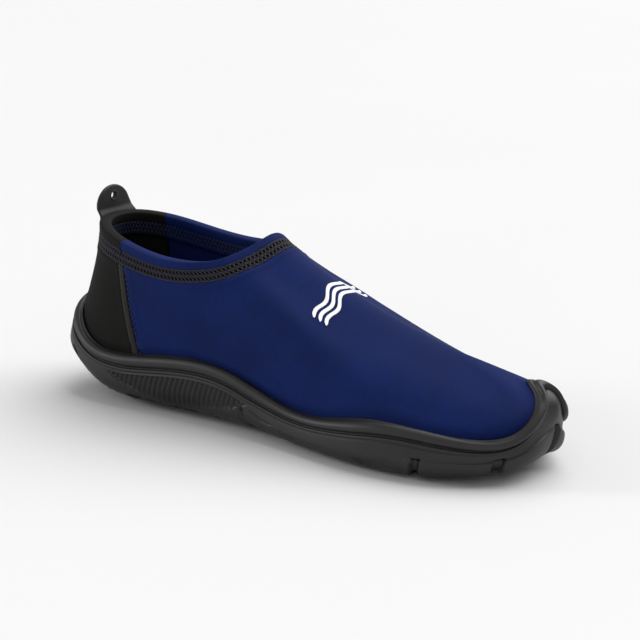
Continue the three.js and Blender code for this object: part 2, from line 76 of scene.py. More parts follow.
PLATE_TOP = 9
SOLE_SIDE = 7
TOE_BEND = -0.73
HEEL_SWELL = 0.56
LIP_WIDTH, LIP_HEIGHT = 5.6, 1.5
RAND_EDGE, TOE_EDGE = 1.2, 3
LUG_DEPTH, LUG_INSET, LUG_LENGTH, LUG_PITCH, LUG_SKEW = 2.2, 4, 9, 13.5, 3

BOARD_THICKNESS, BOARD_PLAY = 1.5, 0.7
FOOTBED_THICKNESS, FOOTBED_MARGIN, FOOTBED_DISH = 4, 2, 2

BAND_DROP, BAND_WIDTH = 5, 7
SEAM_STATIONS = (2.42, 18 - 1.75)
SEAM_LEAN = 0.36
LEAN_REACH = 1.7  # stations from a heel seam to where the lean has died away

MARK_LENGTH, MARK_STRIPE, MARK_PITCH, MARK_WAVE = 46, 2, 3.6, 1.2
MARK_SETBACK, MARK_SLANT = 42, 0.2

# Control values of closed cubic B-splines, one row a station.
# x, y outer, y inner, height of the rand's top, height of the tread's edge, its tuck
SOLE_STATIONS = [
    [-142, 2, 2, 48, 15, 15],
    [-135, -25, 27, 42, 11, 15],
    [-107, -38, 36, 23, 2.5, 12],
    [-64, -37, 33, 29.5, 3.5, 9],
    [-20, -36, 31, 34, 4.5, 8],
    [26, -43, 40, 13, 2.5, 8],
    [72, -51, 48, 27, 1.2, 8],
    [114, -43.5, 41, 21.5, 3, 7],
    [145, -22, 10, 19.5, 7.7, 6],
    [142, 3, 3, 54, 10.7, 6],
]
# x, y outer, y inner, share of the climb from the ankle's height
COLLAR_STATIONS = [
    [-129, 2, 2, 1],
    [-124, -15, 17, 1],
    [-106, -28, 28, 0.7],
    [-80, -33, 31, 0.2],
    [-58, -34, 31, 0],
    [-36, -30, 27, 0.2],
    [-28, -22, 20, 0.57],
    [-23, -13, 12, 0.81],
    [-21, -6, 6, 0.95],
    [-20.5, 0, 0, 1],
]
# bulge, rise, reach of the upper handle, its height
SECTION_STATIONS = [
    [4, 22, 0.1, 62],
    [4, 22, 0.15, 60],
    [3, 22, 0.22, 55],
    [3, 22, 0.25, 55],
    [3, 24, 0.28, 56],
    [3, 26, 0.35, 60],
    [2, 24, 0.44, 63],
    [3, 15, 0.45, 50.7],
    [26, 21.8, 0.87, 22],
    [9.7, 50, 1.05, 21.4],
]
STATIONS = 2 * (len(SOLE_STATIONS) - 1)
TOE = STATIONS / 2


# ---------- Curves of the last ----------
def closed_ring(rows, outer, inner=None):
    inner = outer if inner is None else inner
    return np.array([row[outer] for row in rows] + [row[inner] for row in rows[-2:0:-1]], float)


def on_ring(ring, u):
    u = np.asarray(u, float)
    start = np.floor(u).astype(int)
    f = u - start
    weights = ((1 - f) ** 3, 3 * f**3 - 6 * f**2 + 4, -3 * f**3 + 3 * f**2 + 3 * f + 1, f**3)
    return sum(w * ring[(start - 1 + k) % len(ring)] for k, w in enumerate(weights)) / 6


PLAN_X, PLAN_Y = closed_ring(SOLE_STATIONS, 0), closed_ring(SOLE_STATIONS, 1, 2)
RAND, LIFT, TUCK = (closed_ring(SOLE_STATIONS, k) for k in (3, 4, 5))
BULGE, RISE, REACH, HANDLE = (closed_ring(SECTION_STATIONS, k) for k in range(4))
COLLAR_X, COLLAR_Y = closed_ring(COLLAR_STATIONS, 0), closed_ring(COLLAR_STATIONS, 1, 2)
CLIMB = closed_ring(COLLAR_STATIONS, 3)


def stretched(ring, size):
    along = on_ring(ring, np.linspace(0, STATIONS, 360, endpoint=False))
    scale = size / (along.max() - along.min())
    return (ring - (along.min() + along.max()) / 2) * scale


PLAN_X, PLAN_Y = stretched(PLAN_X, SHOE_LENGTH), stretched(PLAN_Y, SHOE_WIDTH)
COLLAR_X = stretched(COLLAR_X, COLLAR_LENGTH) - SHOE_LENGTH / 2 + COLLAR_SETBACK + COLLAR_LENGTH / 2
COLLAR_Y = stretched(COLLAR_Y, COLLAR_WIDTH)


def mix(a, b, share):
    return a + (b - a) * share


def smooth(value, low, high):
    x = np.clip((value - low) / (high - low), 0, 1)
    return x * x * (3 - 2 * x)


def hump(value, middle, half):
    return np.exp(-(((value - middle) / half) ** 2))


def unit(vectors):
    return vectors / np.maximum(np.linalg.norm(vectors, axis=-1, keepdims=True), 1e-9)


def outline(u):
    return np.stack([on_ring(PLAN_X, u), on_ring(PLAN_Y, u)], -1)


def outwards(u):
    along = outline(u + 0.01) - outline(u - 0.01)
    return unit(np.stack([along[..., 1], -along[..., 0]], -1))


def frontness(u):
    return (1 - np.cos(2 * np.pi * u / STATIONS)) / 2


def collar_edge(u):
    end = mix(HEEL_HEIGHT, THROAT_HEIGHT - THROAT_LIP, smooth(frontness(u), 0.3, 0.7))
    height = mix(ANKLE_HEIGHT, end, on_ring(CLIMB, u))
    return np.stack([on_ring(COLLAR_X, u), on_ring(COLLAR_Y, u), height], -1)


def upper_point(u, t):
    u, t = np.broadcast_arrays(np.asarray(u, float), np.asarray(t, float))
    out = outwards(u)
    side = outline(u) - SOLE_SIDE * out
    floor = on_ring(LIFT, u) + PLATE_TOP + GAP
    bulge = side + out * on_ring(BULGE, u)[..., None]
    edge = collar_edge(u)
    reach = on_ring(REACH, u)[..., None]
    foot = np.concatenate([side, floor[..., None]], -1)
    low = np.concatenate([bulge, (floor + on_ring(RISE, u))[..., None]], -1)
    high = np.concatenate([mix(edge[..., :2], side, reach), on_ring(HANDLE, u)[..., None]], -1)
    f = t[..., None]
    s = 1 - f
    point = s**3 * foot + 3 * s * s * f * low + 3 * s * f * f * high + f**3 * edge
    point[..., 2] += THROAT_LIP * frontness(u) ** 4 * t**14
    return point


def upper_normal(u, t):
    step = 0.004
    low = np.minimum(t, 1 - step)
    along = upper_point(u + step, t) - upper_point(u - step, t)
    up = upper_point(u, low + step) - upper_point(u, low)
    return unit(np.cross(along, up))


def off_upper(u, t, distance):
    distance = np.asarray(distance, float)
    return upper_point(u, t) + upper_normal(u, t) * distance[..., None]


def t_at_height(u, height, distance=0.0):
    low, high = np.zeros(np.shape(u)), np.ones(np.shape(u))
    for _ in range(22):
        middle = (low + high) / 2
        under = off_upper(u, middle, distance)[..., 2] < height
        low, high = np.where(under, middle, low), np.where(under, high, middle)
    return low


# The t a given way down from the collar's edge, from a table of ways.
ROUND = np.linspace(0, STATIONS, 721)
DROPS = np.arange(0, 26.1, 0.5)


def drop_table():
    t = np.linspace(0, 1, 161)
    steps = np.linalg.norm(np.diff(upper_point(ROUND[:, None], t), axis=1), axis=2)
    down = np.cumsum(steps[:, ::-1], axis=1)
    return np.array([np.interp(DROPS, [0, *line], t[::-1]) for line in down])


T_BELOW = drop_table()


def t_below_edge(u, drop):
    u, drop = np.broadcast_arrays(np.asarray(u, float), np.asarray(drop, float))
    a = np.mod(u, STATIONS) / ROUND[1]
    b = np.clip(drop, 0, DROPS[-1]) / DROPS[1]
    i = np.minimum(a.astype(int), len(ROUND) - 2)
    j = np.minimum(b.astype(int), len(DROPS) - 2)
    fa, fb = a - i, b - j
    near = mix(T_BELOW[i, j], T_BELOW[i, j + 1], fb)
    far = mix(T_BELOW[i + 1, j], T_BELOW[i + 1, j + 1], fb)
    return mix(near, far, fa)


def on_collar(u, drop, height):
    return off_upper(u, t_below_edge(u, drop), height)


# ---------- Meshes ----------
# A sheet is a grid of points, with the way along and across it that its finish is laid by.
Sheet = namedtuple("Sheet", "points laid closed_along closed_across", defaults=(None, False, False))


def build(name, sheets, finish, replaces=(), body="shoe", weld=False, flat=False):
    corners, laid, faces, count = [], [], [], 0
    for sheet in sheets:
        n, m = sheet.points.shape[:2]
        index = count + np.arange(n * m).reshape(n, m)
        if sheet.closed_along:
            index = np.vstack([index, index[:1]])
        if sheet.closed_across:
            index = np.hstack([index, index[:, :1]])
        quads = np.stack([index[:-1, :-1], index[1:, :-1], index[1:, 1:], index[:-1, 1:]], -1)
        faces.append(quads.reshape(-1, 4))
        corners.append(sheet.points.reshape(-1, 3))
        places = sheet.points if sheet.laid is None else sheet.laid
        laid.append(np.asarray(places, float).reshape(-1, 3))
        count += n * m
    corners, laid, faces = (np.concatenate(part) for part in (corners, laid, faces))

    mesh = bpy.data.meshes.new(name)
    mesh.vertices.add(len(corners))
    mesh.vertices.foreach_set("co", (corners * MM).astype(np.float32).ravel())
    mesh.loops.add(faces.size)
    mesh.loops.foreach_set("vertex_index", faces.astype(np.int32).ravel())
    mesh.polygons.add(len(faces))
    mesh.polygons.foreach_set("loop_start", np.arange(0, faces.size, 4, dtype=np.int32))
    mesh.update(calc_edges=True)
    ways = mesh.attributes.new("laid", "FLOAT_VECTOR", "POINT")
    ways.data.foreach_set("vector", laid.astype(np.float32).ravel())
    work = bmesh.new()
    work.from_mesh(mesh)
    if weld:
        bmesh.ops.remove_doubles(work, verts=work.verts, dist=2e-6)
        bmesh.ops.dissolve_degenerate(work, edges=work.edges, dist=1e-7)
    bmesh.ops.recalc_face_normals(work, faces=work.faces)
    work.to_mesh(mesh)
    work.free()
    mesh.polygons.foreach_set("use_smooth", [not flat] * len(mesh.polygons))
    mesh.materials.append(finish)

    piece = bpy.data.objects.new(name, mesh)
    bpy.context.scene.collection.objects.link(piece)
    if replaces:
        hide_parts(*replaces)
    if body:
        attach(piece, body)
    return piece


def ways(points, axis):
    """How far along a grid each point is, in millimetres."""
    steps = np.linalg.norm(np.diff(points, axis=axis), axis=2)
    zero = np.zeros_like(steps.take([0], axis=axis))
    return np.concatenate([zero, np.cumsum(steps, axis=axis)], axis=axis)


def lid(ring, strips, dish=0.0):
    """The face that closes a ring, laid in strips from the outer side to the inner side."""
    n = len(ring)
    half = np.arange(n // 2 + 1)
    share = np.linspace(0, 1, strips + 1)[None, :, None]
    points = ring[half][:, None] * (1 - share) + ring[(n - half) % n][:, None] * share
    sag = dish * np.sin(np.pi * half / (n // 2)) ** 0.7
    points[..., 2] -= 4 * share[..., 0] * (1 - share[..., 0]) * sag[:, None]
    return Sheet(points)


def thread(path, normals, radius, closed=False, flatten=0.75, sides=6):
    """A thread along a path that lies on a surface, with rounded ends where it isn't closed."""
    if closed:
        along = np.roll(path, -1, axis=0) - np.roll(path, 1, axis=0)
    else:
        along = np.gradient(path, axis=0)
    along = unit(along)
    across = unit(np.cross(along, normals))
    up = np.cross(across, along)
    size = np.full(len(path), radius, float)
    if not closed:
        reach = np.minimum(np.arange(len(path)), np.arange(len(path))[::-1])
        size *= np.array([0.05, 0.6, 0.85, 1])[np.minimum(reach, 3)]
    angle = 2 * np.pi * np.arange(sides) / sides
    ring = (
        across[:, None] * np.cos(angle)[None, :, None]
        + up[:, None] * flatten * np.sin(angle)[None, :, None]
    )
    points = path[:, None] + ring * size[:, None, None]
    step = np.linalg.norm(np.diff(path, axis=0), axis=1)
    way = np.concatenate([[0], np.cumsum(step)])
    laid = np.stack(
        [
            np.broadcast_to(way[:, None], points.shape[:2]),
            np.broadcast_to(angle[None, :], points.shape[:2]),
            np.zeros(points.shape[:2]),
        ],
        -1,
    )
    return Sheet(points, laid, closed, True)


# ---------- The upper ----------
def wobble(along, up):
    """The slight unevenness of stretched neoprene."""
    slow = np.sin(along / 23 + 0.7) * np.sin(up / 17 + 1.9)
    quick = np.sin(along / 9.1 + up / 13.7) * np.sin(up / 7.9 - along / 21)
    return 0.16 * slow + 0.05 * quick


def panel_sheets(start, end, columns):
    """One neoprene panel: outer face, rounded folded lip, inner face and its turned-in hem."""
    u = np.linspace(start, end, columns)[:, None]
    hem_drop = 24
    plain = np.linspace(0, 1, 52)[None, :-1] * t_below_edge(u, hem_drop)
    hem_drops = np.linspace(hem_drop, 1.2, 50)[None, :]
    t_out = np.concatenate([plain, t_below_edge(u, hem_drops)], axis=1)
    drop = np.concatenate([np.full(plain.shape[1], 40.0), hem_drops[0]])
    drop = np.tile(drop, (columns, 1))
    u_out = leaned(u, t_out)
    skin = upper_point(u_out, t_out)
    normal = upper_normal(u_out, t_out)
    along, up = ways(skin, 0), ways(skin, 1)
    beside = np.minimum(along, along[-1:] - along)

    over_rand = skin[..., 2] - on_ring(RAND, u_out)
    lip = np.sqrt(np.clip(1 - ((drop - 1.2) / 4.4) ** 2, 0, 1))
    height = 0.6 * lip
    height -= 0.5 * smooth(drop, 4.4, 5.4) * (1 - smooth(drop, 11.4, 12.6))
    height += 0.4 * hump(drop, 14, 1.9)
    height -= 0.5 * (1 - smooth(beside, 0.6, 3.4)) * smooth(drop, 4.5, 6)
    height += 0.25 * hump(beside, 4.6, 1.6) * smooth(drop, 12, 16)
    height += 0.45 * hump(over_rand, 5.0, 2.6) - 0.35 * hump(over_rand, 1.2, 1.3)
    height += wobble(along + 40 * start, up) * smooth(drop, 6, 16)
    outer = skin + normal * height[..., None]

    inner_drops = np.concatenate([np.linspace(26, 13.4, 8), np.linspace(13.1, 12.3, 4),
                                  np.linspace(11.5, 1.2, 16)])[None, :]
    inner_plain = np.linspace(0, 1, 20)[None, :-1] * t_below_edge(u, 26)
    t_in = np.concatenate([inner_plain, t_below_edge(u, inner_drops)], axis=1)
    in_drop = np.concatenate([np.full(inner_plain.shape[1], 40.0), inner_drops[0]])[None, :]
    depth = NEOPRENE + HEM_PLY * (1 - smooth(in_drop, 12.4, 13.2))
    depth = depth + 0.5 * np.sqrt(np.clip(1 - ((in_drop - 1.2) / 4) ** 2, 0, 1))
    depth = depth - 0.4 * hump(in_drop, 8.5, 2.6)
    u_in = leaned(u, t_in)
    inner = upper_point(u_in, t_in) - upper_normal(u_in, t_in) * depth[..., None]

    # the fold over the top, an ellipse between the two faces
    top_out, top_in = outer[:, -1], inner[:, -1]
    rising = unit(skin[:, -1] - skin[:, -3])
    turn = np.linspace(0, np.pi, 13)[1:-1]
    middle, reach = (top_out + top_in) / 2, (top_out - top_in) / 2
    fold = (
        middle[:, None]
        + reach[:, None] * np.cos(turn)[None, :, None]
        + rising[:, None] * (1.1 * np.sin(turn))[None, :, None]
    )
    points = np.concatenate([outer, fold, inner[:, ::-1]], axis=1)
    round_up = ways(points, 1)
    side = np.zeros(points.shape[:2])
    side[:, outer.shape[1] + 6 :] = 1
    over = np.concatenate([along, np.repeat(along[:, -1:], points.shape[1] - along.shape[1], 1)], 1)
    laid = np.stack([over, round_up, side], -1)
    sheets = [Sheet(points, laid, False, True)]
    half = points.shape[1] // 2
    for end_line in (0, -1):
        line, line_laid = points[end_line], laid[end_line]
        pair = np.stack([line[:half], line[::-1][:half]], 1)
        sheets.append(Sheet(pair, np.stack([line_laid[:half]] * 2, 1)))
    return sheets


def leaned(u, t):
    """A panel's station at t: its lines lean with the seams, whose feet are further forward."""
    near = [
        1 - smooth(np.abs((u - seam + TOE) % STATIONS - TOE), 0, LEAN_REACH) for seam in SEAM_STATIONS
    ]
    return u + SEAM_LEAN * (1 - t) * (near[0] - near[1])


def beside_seam(side, way):
    u = SEAM_STATIONS[side]
    span = np.linalg.norm(upper_point(u + 0.5, 0.5) - upper_point(u - 0.5, 0.5))
    return u + way * GAP / span


# ---------- Stitching ----------
COLLAR_WAY = np.concatenate(
    [[0], np.cumsum(np.linalg.norm(np.diff(on_collar(ROUND, BAND_DROP + 3.5, 0), axis=0), axis=1))]
)


def u_at_way(way):
    return np.interp(np.mod(way, COLLAR_WAY[-1]), COLLAR_WAY, ROUND)


def band_thread(drop, height, way, radius, closed=True, inside=False):
    """A thread on the band round the collar; drop and height are lists along its way."""
    u = u_at_way(way)
    t = t_below_edge(u, drop)
    normal = upper_normal(u, t) * (-1 if inside else 1)
    skin = off_upper(u, t, -(NEOPRENE + HEM_PLY) if inside else 0.0)
    return thread(skin + normal * np.asarray(height)[..., None], normal, radius, closed)


def zigzag(share):
    """From -1 to 1 and back, with slightly rounded turns."""
    return np.arcsin(0.97 * np.sin(2 * np.pi * share)) / math.asin(0.97)


def band_bed_sheets():
    """The flat bed of looper threads that fills the band; its near-black colour is painted shade in
    the gaps between the threads over it.
    """
    total = COLLAR_WAY[-1]
    middle = BAND_DROP + BAND_WIDTH / 2
    way = np.linspace(0, total, 900, endpoint=False)
    across = np.linspace(-1, 1, 13)
    u = u_at_way(way)[:, None]
    drop = middle + across[None, :] * (BAND_WIDTH / 2 - 0.2)
    rise = 0.05 + 0.14 * (1 - across**6)[None, :]
    rise = rise + 0.05 * np.cos(2 * np.pi * way / 1.5)[:, None] * np.cos(across * 9)[None, :]
    bed = on_collar(u, drop, rise - 0.32)
    laid = np.stack(np.broadcast_arrays(way[:, None], drop, 0 * drop), -1)
    under = on_collar(u, drop, rise * 0 - 0.6)
    points = np.concatenate([bed, under[:, ::-1]], 1)
    return [Sheet(points, np.concatenate([laid, laid[:, ::-1]], 1), True, True)]


def coverstitch_sheets():
    """Three needle lines, and looper threads that cross between them."""
    total = COLLAR_WAY[-1]
    middle = BAND_DROP + BAND_WIDTH / 2
    sheets = []
    lines = [middle + offset for offset in (-3.2, 0, 3.2)]
    stitch = total / round(total / 4.4)
    count = round(total / stitch)
    for k, line in enumerate(lines):
        way = np.linspace(0, total, count * 8, endpoint=False)
        sink = np.cos(2 * np.pi * (way / stitch + k / 4))
        height = 0.1 + 0.16 * np.sign(sink) * np.abs(sink) ** 0.5
        sheets.append(band_thread(line, height, way, 0.32))
    for k, (high, low) in enumerate(zip(lines[:-1], lines[1:])):
        for turn in (0, 0.5):
            way = np.linspace(0, total, count * 12, endpoint=False)
            swing = zigzag(way / stitch + k / 2 + turn)
            drop = (high + low) / 2 + swing * (low - high) / 2
            height = 0.06 + 0.1 * np.cos(np.pi * swing / 2) + 0.08 * turn
            sheets.append(band_thread(drop, height, way, 0.28))
    return sheets


def bobbin_sheets():
    """What the same stitching shows on the inside of the collar."""
    total = COLLAR_WAY[-1]
    count = round(total / 2.3)
    way = np.linspace(0, total, count * 10, endpoint=False)
    sheets = []
    for k, offset in enumerate((-2.1, 0, 2.1)):
        swing = zigzag(way * count / total + k / 2)
        drop = BAND_DROP + BAND_WIDTH / 2 + offset + swing * 1.0
        height = 0.05 + 0.12 * np.cos(np.pi * swing / 2)
        sheets.append(band_thread(drop, height, way, 0.24, inside=True))
    return sheets


def heel_seam_sheets(side):
    """A flat seam: dense loops over the black edge, and short stitches sunk in the blue."""
    station = SEAM_STATIONS[side]
    to_blue = 1 if side == 0 else -1
    foot = t_at_height(np.array(station), on_ring(RAND, station) - 4)
    head = t_below_edge(station, BAND_DROP + BAND_WIDTH + 0.2)
    t = np.linspace(foot, head, 200)
    line = upper_point(leaned(station, t), t)
    way = ways(line[:, None], 0)[:, 0]
    length = way[-1]

    def place(at, aside, height):
        """A point beside the seam's line: at along it, aside to the blue, height over it."""
        t_here = np.interp(at, way, t)
        middle = leaned(station, t_here)
        near = upper_point(middle + 0.5, t_here) - upper_point(middle - 0.5, t_here)
        u = middle + to_blue * aside / np.linalg.norm(near, axis=-1)
        return off_upper(u, t_here, height), upper_normal(u, t_here)

    sheets = []
    loops = round(length / 1.9)
    for turn in (0, 0.5):
        at = np.linspace(0, length, loops * 12)
        swing = zigzag(at * loops / length + turn)
        aside = -1.35 + 1.5 * swing
        height = -0.02 + 0.2 * np.cos(np.pi * swing / 2) + 0.12 * turn
        sheets.append(thread(*place(at, aside, height), 0.34))
    for aside in (-2.9, 0.2):
        at = np.linspace(0, length, loops * 6)
        height = 0.02 + 0.18 * np.cos(2 * np.pi * at / 2.7 + aside)
        sheets.append(thread(*place(at, np.full(len(at), aside), height), 0.26))
    # the bed under the loops
    at = np.linspace(0, length, 240)[:, None]
    aside = np.linspace(-3.1, 0.4, 9)[None, :]
    at, aside = np.broadcast_arrays(at, aside)
    arch = 1 - ((aside + 1.35) / 1.75) ** 4
    bed, _ = place(at, aside, -0.5 + 0.22 * arch)
    under, _ = place(at, aside, 0 * at - 0.75)
    sheets.append(Sheet(np.concatenate([bed, under[:, ::-1]], 1), None, False, True))
    # the row of stitches on the blue side
    stitches = round(length / 2.6)
    for k in range(stitches):
        at = (k + 0.5) * length / stitches + np.linspace(-0.62, 0.62, 9)
        arch = np.cos(np.linspace(-np.pi / 2, np.pi / 2, 9))
        points, normals = place(at, np.full(9, 2.0) + 0.3 * arch, -0.4 + 0.62 * arch)
        sheets.append(thread(points, normals, 0.55, flatten=0.8))
    return sheets


# ---------- Inside the shoe ----------
RINGS_ROUND = np.linspace(0, STATIONS, 480, endpoint=False)


def inner_ring(margin, height, u=RINGS_ROUND):
    depth = -NEOPRENE - GAP
    level = on_ring(LIFT, u) + PLATE_TOP + height
    wall = off_upper(u, t_at_height(u, level, depth), depth)
    flat = wall[:, :2] - outwards(u) * margin
    return np.concatenate([flat, level[:, None]], axis=1)


def ring_stack(rings, strips, dish=0.0):
    around = np.stack(rings, axis=1)
    return [Sheet(around, None, True, False), lid(rings[0], 2), lid(rings[-1], strips, dish)]


def footbed_sheets():
    under = 2 * GAP + BOARD_THICKNESS
    thick = FOOTBED_THICKNESS
    rings = [
        inner_ring(FOOTBED_MARGIN + 0.9, under),
        inner_ring(FOOTBED_MARGIN + 0.3, under + 0.15 * thick),
        inner_ring(FOOTBED_MARGIN, under + 0.5 * thick),
        inner_ring(FOOTBED_MARGIN + 0.1, under + 0.8 * thick),
        inner_ring(FOOTBED_MARGIN + 0.5, under + 0.95 * thick),
        inner_ring(FOOTBED_MARGIN + 1.2, under + thick),
        inner_ring(FOOTBED_MARGIN + 2.2, under + 0.98 * thick),
    ]
    return ring_stack(rings, 60, FOOTBED_DISH)


def board_sheets():
    top = GAP + BOARD_THICKNESS
    rings = [
        inner_ring(BOARD_PLAY + 0.3, GAP),
        inner_ring(BOARD_PLAY, GAP + 0.3),
        inner_ring(BOARD_PLAY, top - 0.3),
        inner_ring(BOARD_PLAY + 0.3, top),
    ]
    return ring_stack(rings, 6)


def strobel_sheets():
    """An overlock seam: loops from the upper's lower edge over to the board."""
    ring = inner_ring(BOARD_PLAY + 0.7, GAP + BOARD_THICKNESS + 0.45)
    length = ways(ring[:, None], 0)[-1, 0]
    count = round(length / 3)
    u = np.linspace(0, STATIONS, count * 10, endpoint=False)
    swing = zigzag(u * count / STATIONS)
    margin = BOARD_PLAY + 0.75 + 0.55 * swing
    lower = inner_ring(0, GAP + BOARD_THICKNESS + 0.4, u)
    lower[:, :2] -= outwards(u) * margin[:, None]
    lower[:, 2] += 0.2 * np.cos(np.pi * swing / 2)
    up = np.broadcast_to(np.array([0, 0, 1.0]), lower.shape)
    return [thread(lower, up, 0.3, closed=True)]


# ---------- The sole ----------
SOLE_COLUMNS = 1060  # columns of the sole's skin, round the shoe


def sole_stations():
    """Stations round the sole, closer together at the ribs, the heel grooves and the toe."""
    u = np.linspace(0, STATIONS, 3601)
    step = np.linalg.norm(np.diff(outline(u), axis=0), axis=1)
    at = (u[1:] + u[:-1]) / 2
    x = outline(at)[:, 0]
    arch = smooth(x, -112, -102) * (1 - smooth(x, -12, 4))
    toe = smooth(x, 96, 112)
    heel = 1 - smooth(x, -122, -112)
    weight = step * (1 + 0.75 * arch + 0.9 * toe + 0.7 * heel)
    total = np.concatenate([[0], np.cumsum(weight)])
    return np.interp(np.linspace(0, total[-1], SOLE_COLUMNS, endpoint=False), total, u)


SOLE_U = sole_stations()
LIP_ROWS = np.concatenate([
    LIP_WIDTH * (1 - np.cos(np.linspace(0, np.pi, 12))) / 2,
    [5.9, 6.25, 6.6, 6.95, 7.3, 7.7, 8.1, 8.4, 8.7, 9.0, 9.4],
])
LIP_ZONE = LIP_ROWS[-1]
# The ribbed lens: its lower edge's height at some ways from the heel.
LENS_WAY = [66, 80, 90, 100, 110, 120, 130, 140, 150, 162]
LENS_LOW = [20, 14.5, 11.5, 8.6, 7, 8, 9.8, 11.4, 13.6, 18]
RIB_PITCH, RIB_DEPTH = 3.1, 1.5
# Lines carved in the wall: (way from the heel, height) points, half width and depth.
CARVED = [
    ([(20, 31), (25, 24), (33, 15), (38, 8)], 0.75, 1.3),
    ([(40, 24), (45, 21), (49, 15), (54, 5)], 0.7, 1.2),
    ([(96, 6.2), (110, 4.6), (128, 5.4)], 0.6, 1.2),
    ([(157, 13.5), (158.5, 9), (162, 6.2), (168, 4.2), (171, 2.5)], 1.3, 2.3),
    ([(164, 14.2), (171, 11.6), (178, 10.4)], 0.4, 0.6),
    ([(171, 8.6), (181, 7.8)], 0.4, 0.6),
    ([(184, 8.2), (196, 6.9)], 0.45, 0.6),
    ([(232, 6.2), (252, 9.2)], 0.45, 0.7),
    ([(234, 4.6), (254, 7.8)], 0.4, 0.6),
]
# Notches between the toe's blocks: way past the toe's tip, half width.
NOTCHES = [(-74, 2.0), (-36, 2.6), (-1, 2.4), (24, 2.4), (50, 2.2)]
WALL_ROWS = 26
UNDER_ROWS = 13


def sole_wall():
    """The outside of the sole from the lip to the tread's edge, with where each point lies."""
    u = SOLE_U
    plan, out = outline(u), outwards(u)
    lift, rand, tuck = on_ring(LIFT, u), on_ring(RAND, u), on_ring(TUCK, u)
    t_top = t_at_height(u, rand)
    top = off_upper(u, t_top, GAP)
    edge = RAND_EDGE + TOE_EDGE * frontness(u) ** 12
    inset = ((plan - top[:, :2]) * out).sum(1) - edge
    heel = 1 - smooth(frontness(u), 0.04, 0.25)
    widest = mix(lift, rand, mix(0.4, HEEL_SWELL, heel))

    f = np.linspace(0, 1, 60)[None, :]
    start = np.stack([-inset, top[:, 2]], -1)[:, None]
    bend_in = mix(0.25, TOE_BEND, frontness(u) ** 12)
    bend = np.stack([-bend_in * inset, mix(widest, top[:, 2], 0.75)], -1)[:, None]
    end = np.stack([0 * inset, widest], -1)[:, None]
    f3 = f[..., None]
    side = (1 - f3) ** 2 * start + 2 * f3 * (1 - f3) * bend + f3**2 * end
    # round under from the widest line to the tread's edge
    low_bend = np.stack(
        [-mix(0.02, 0.34, heel) * tuck, mix(lift, widest, mix(0.12, 0.44, heel))], -1
    )[:, None]
    foot = np.stack([-tuck, lift], -1)[:, None]
    g = np.linspace(0, 1, 30)[1:][None, :, None]
    under = (1 - g) ** 2 * end + 2 * g * (1 - g) * low_bend + g**2 * foot
    line = np.concatenate([side, under], axis=1)
    way = ways(line, 1)
    wide = way[:, 59]
    zone = np.minimum(LIP_ZONE, 0.66 * wide)
    rows = np.concatenate(
        [
            LIP_ROWS[None, :] * (zone / LIP_ZONE)[:, None],
            mix(zone[:, None], wide[:, None], np.linspace(0, 1, WALL_ROWS + 1)[None, 1:]),
            mix(wide[:, None], way[:, -1:], np.linspace(0, 1, UNDER_ROWS + 1)[None, 1:]),
        ],
        axis=1,
    )
    points2 = np.array(
        [
            [np.interp(row, w, l[:, 0]), np.interp(row, w, l[:, 1])]
            for row, w, l in zip(rows, way, line)
        ]
    ).transpose(0, 2, 1)
    points = np.empty(rows.shape + (3,))
    points[..., :2] = plan[:, None] + out[:, None] * points2[..., :1]
    points[..., 2] = points2[..., 1]
    return points, rows / (zone / LIP_ZONE)[:, None], zone / LIP_ZONE, top, t_top


def near_line(x, z, line):
    """How far places on the wall are from a line drawn on it."""
    best = np.full(x.shape, 99.0)
    for (ax, az), (bx, bz) in zip(line[:-1], line[1:]):
        dx, dz = bx - ax, bz - az
        share = np.clip(((x - ax) * dx + (z - az) * dz) / (dx * dx + dz * dz), 0, 1)
        best = np.minimum(best, np.hypot(x - ax - share * dx, z - az - share * dz))
    return best


# millimetres round the wall from the heel over which each detail comes in or dies away
RIBS_START, RIBS_END = (69, 74), (154, 161)
BORDER_START, BORDER_END = (66, 76), (158, 166)
BLOCKS_START = (258, 262)
BLOCK_HEIGHT, NOTCH_DEPTH = 1.0, 2.9
HOLLOW_PLACE, HOLLOW_HALF, HOLLOW_DEPTH = (88, 5.8), (5.5, 1.7), 2.4


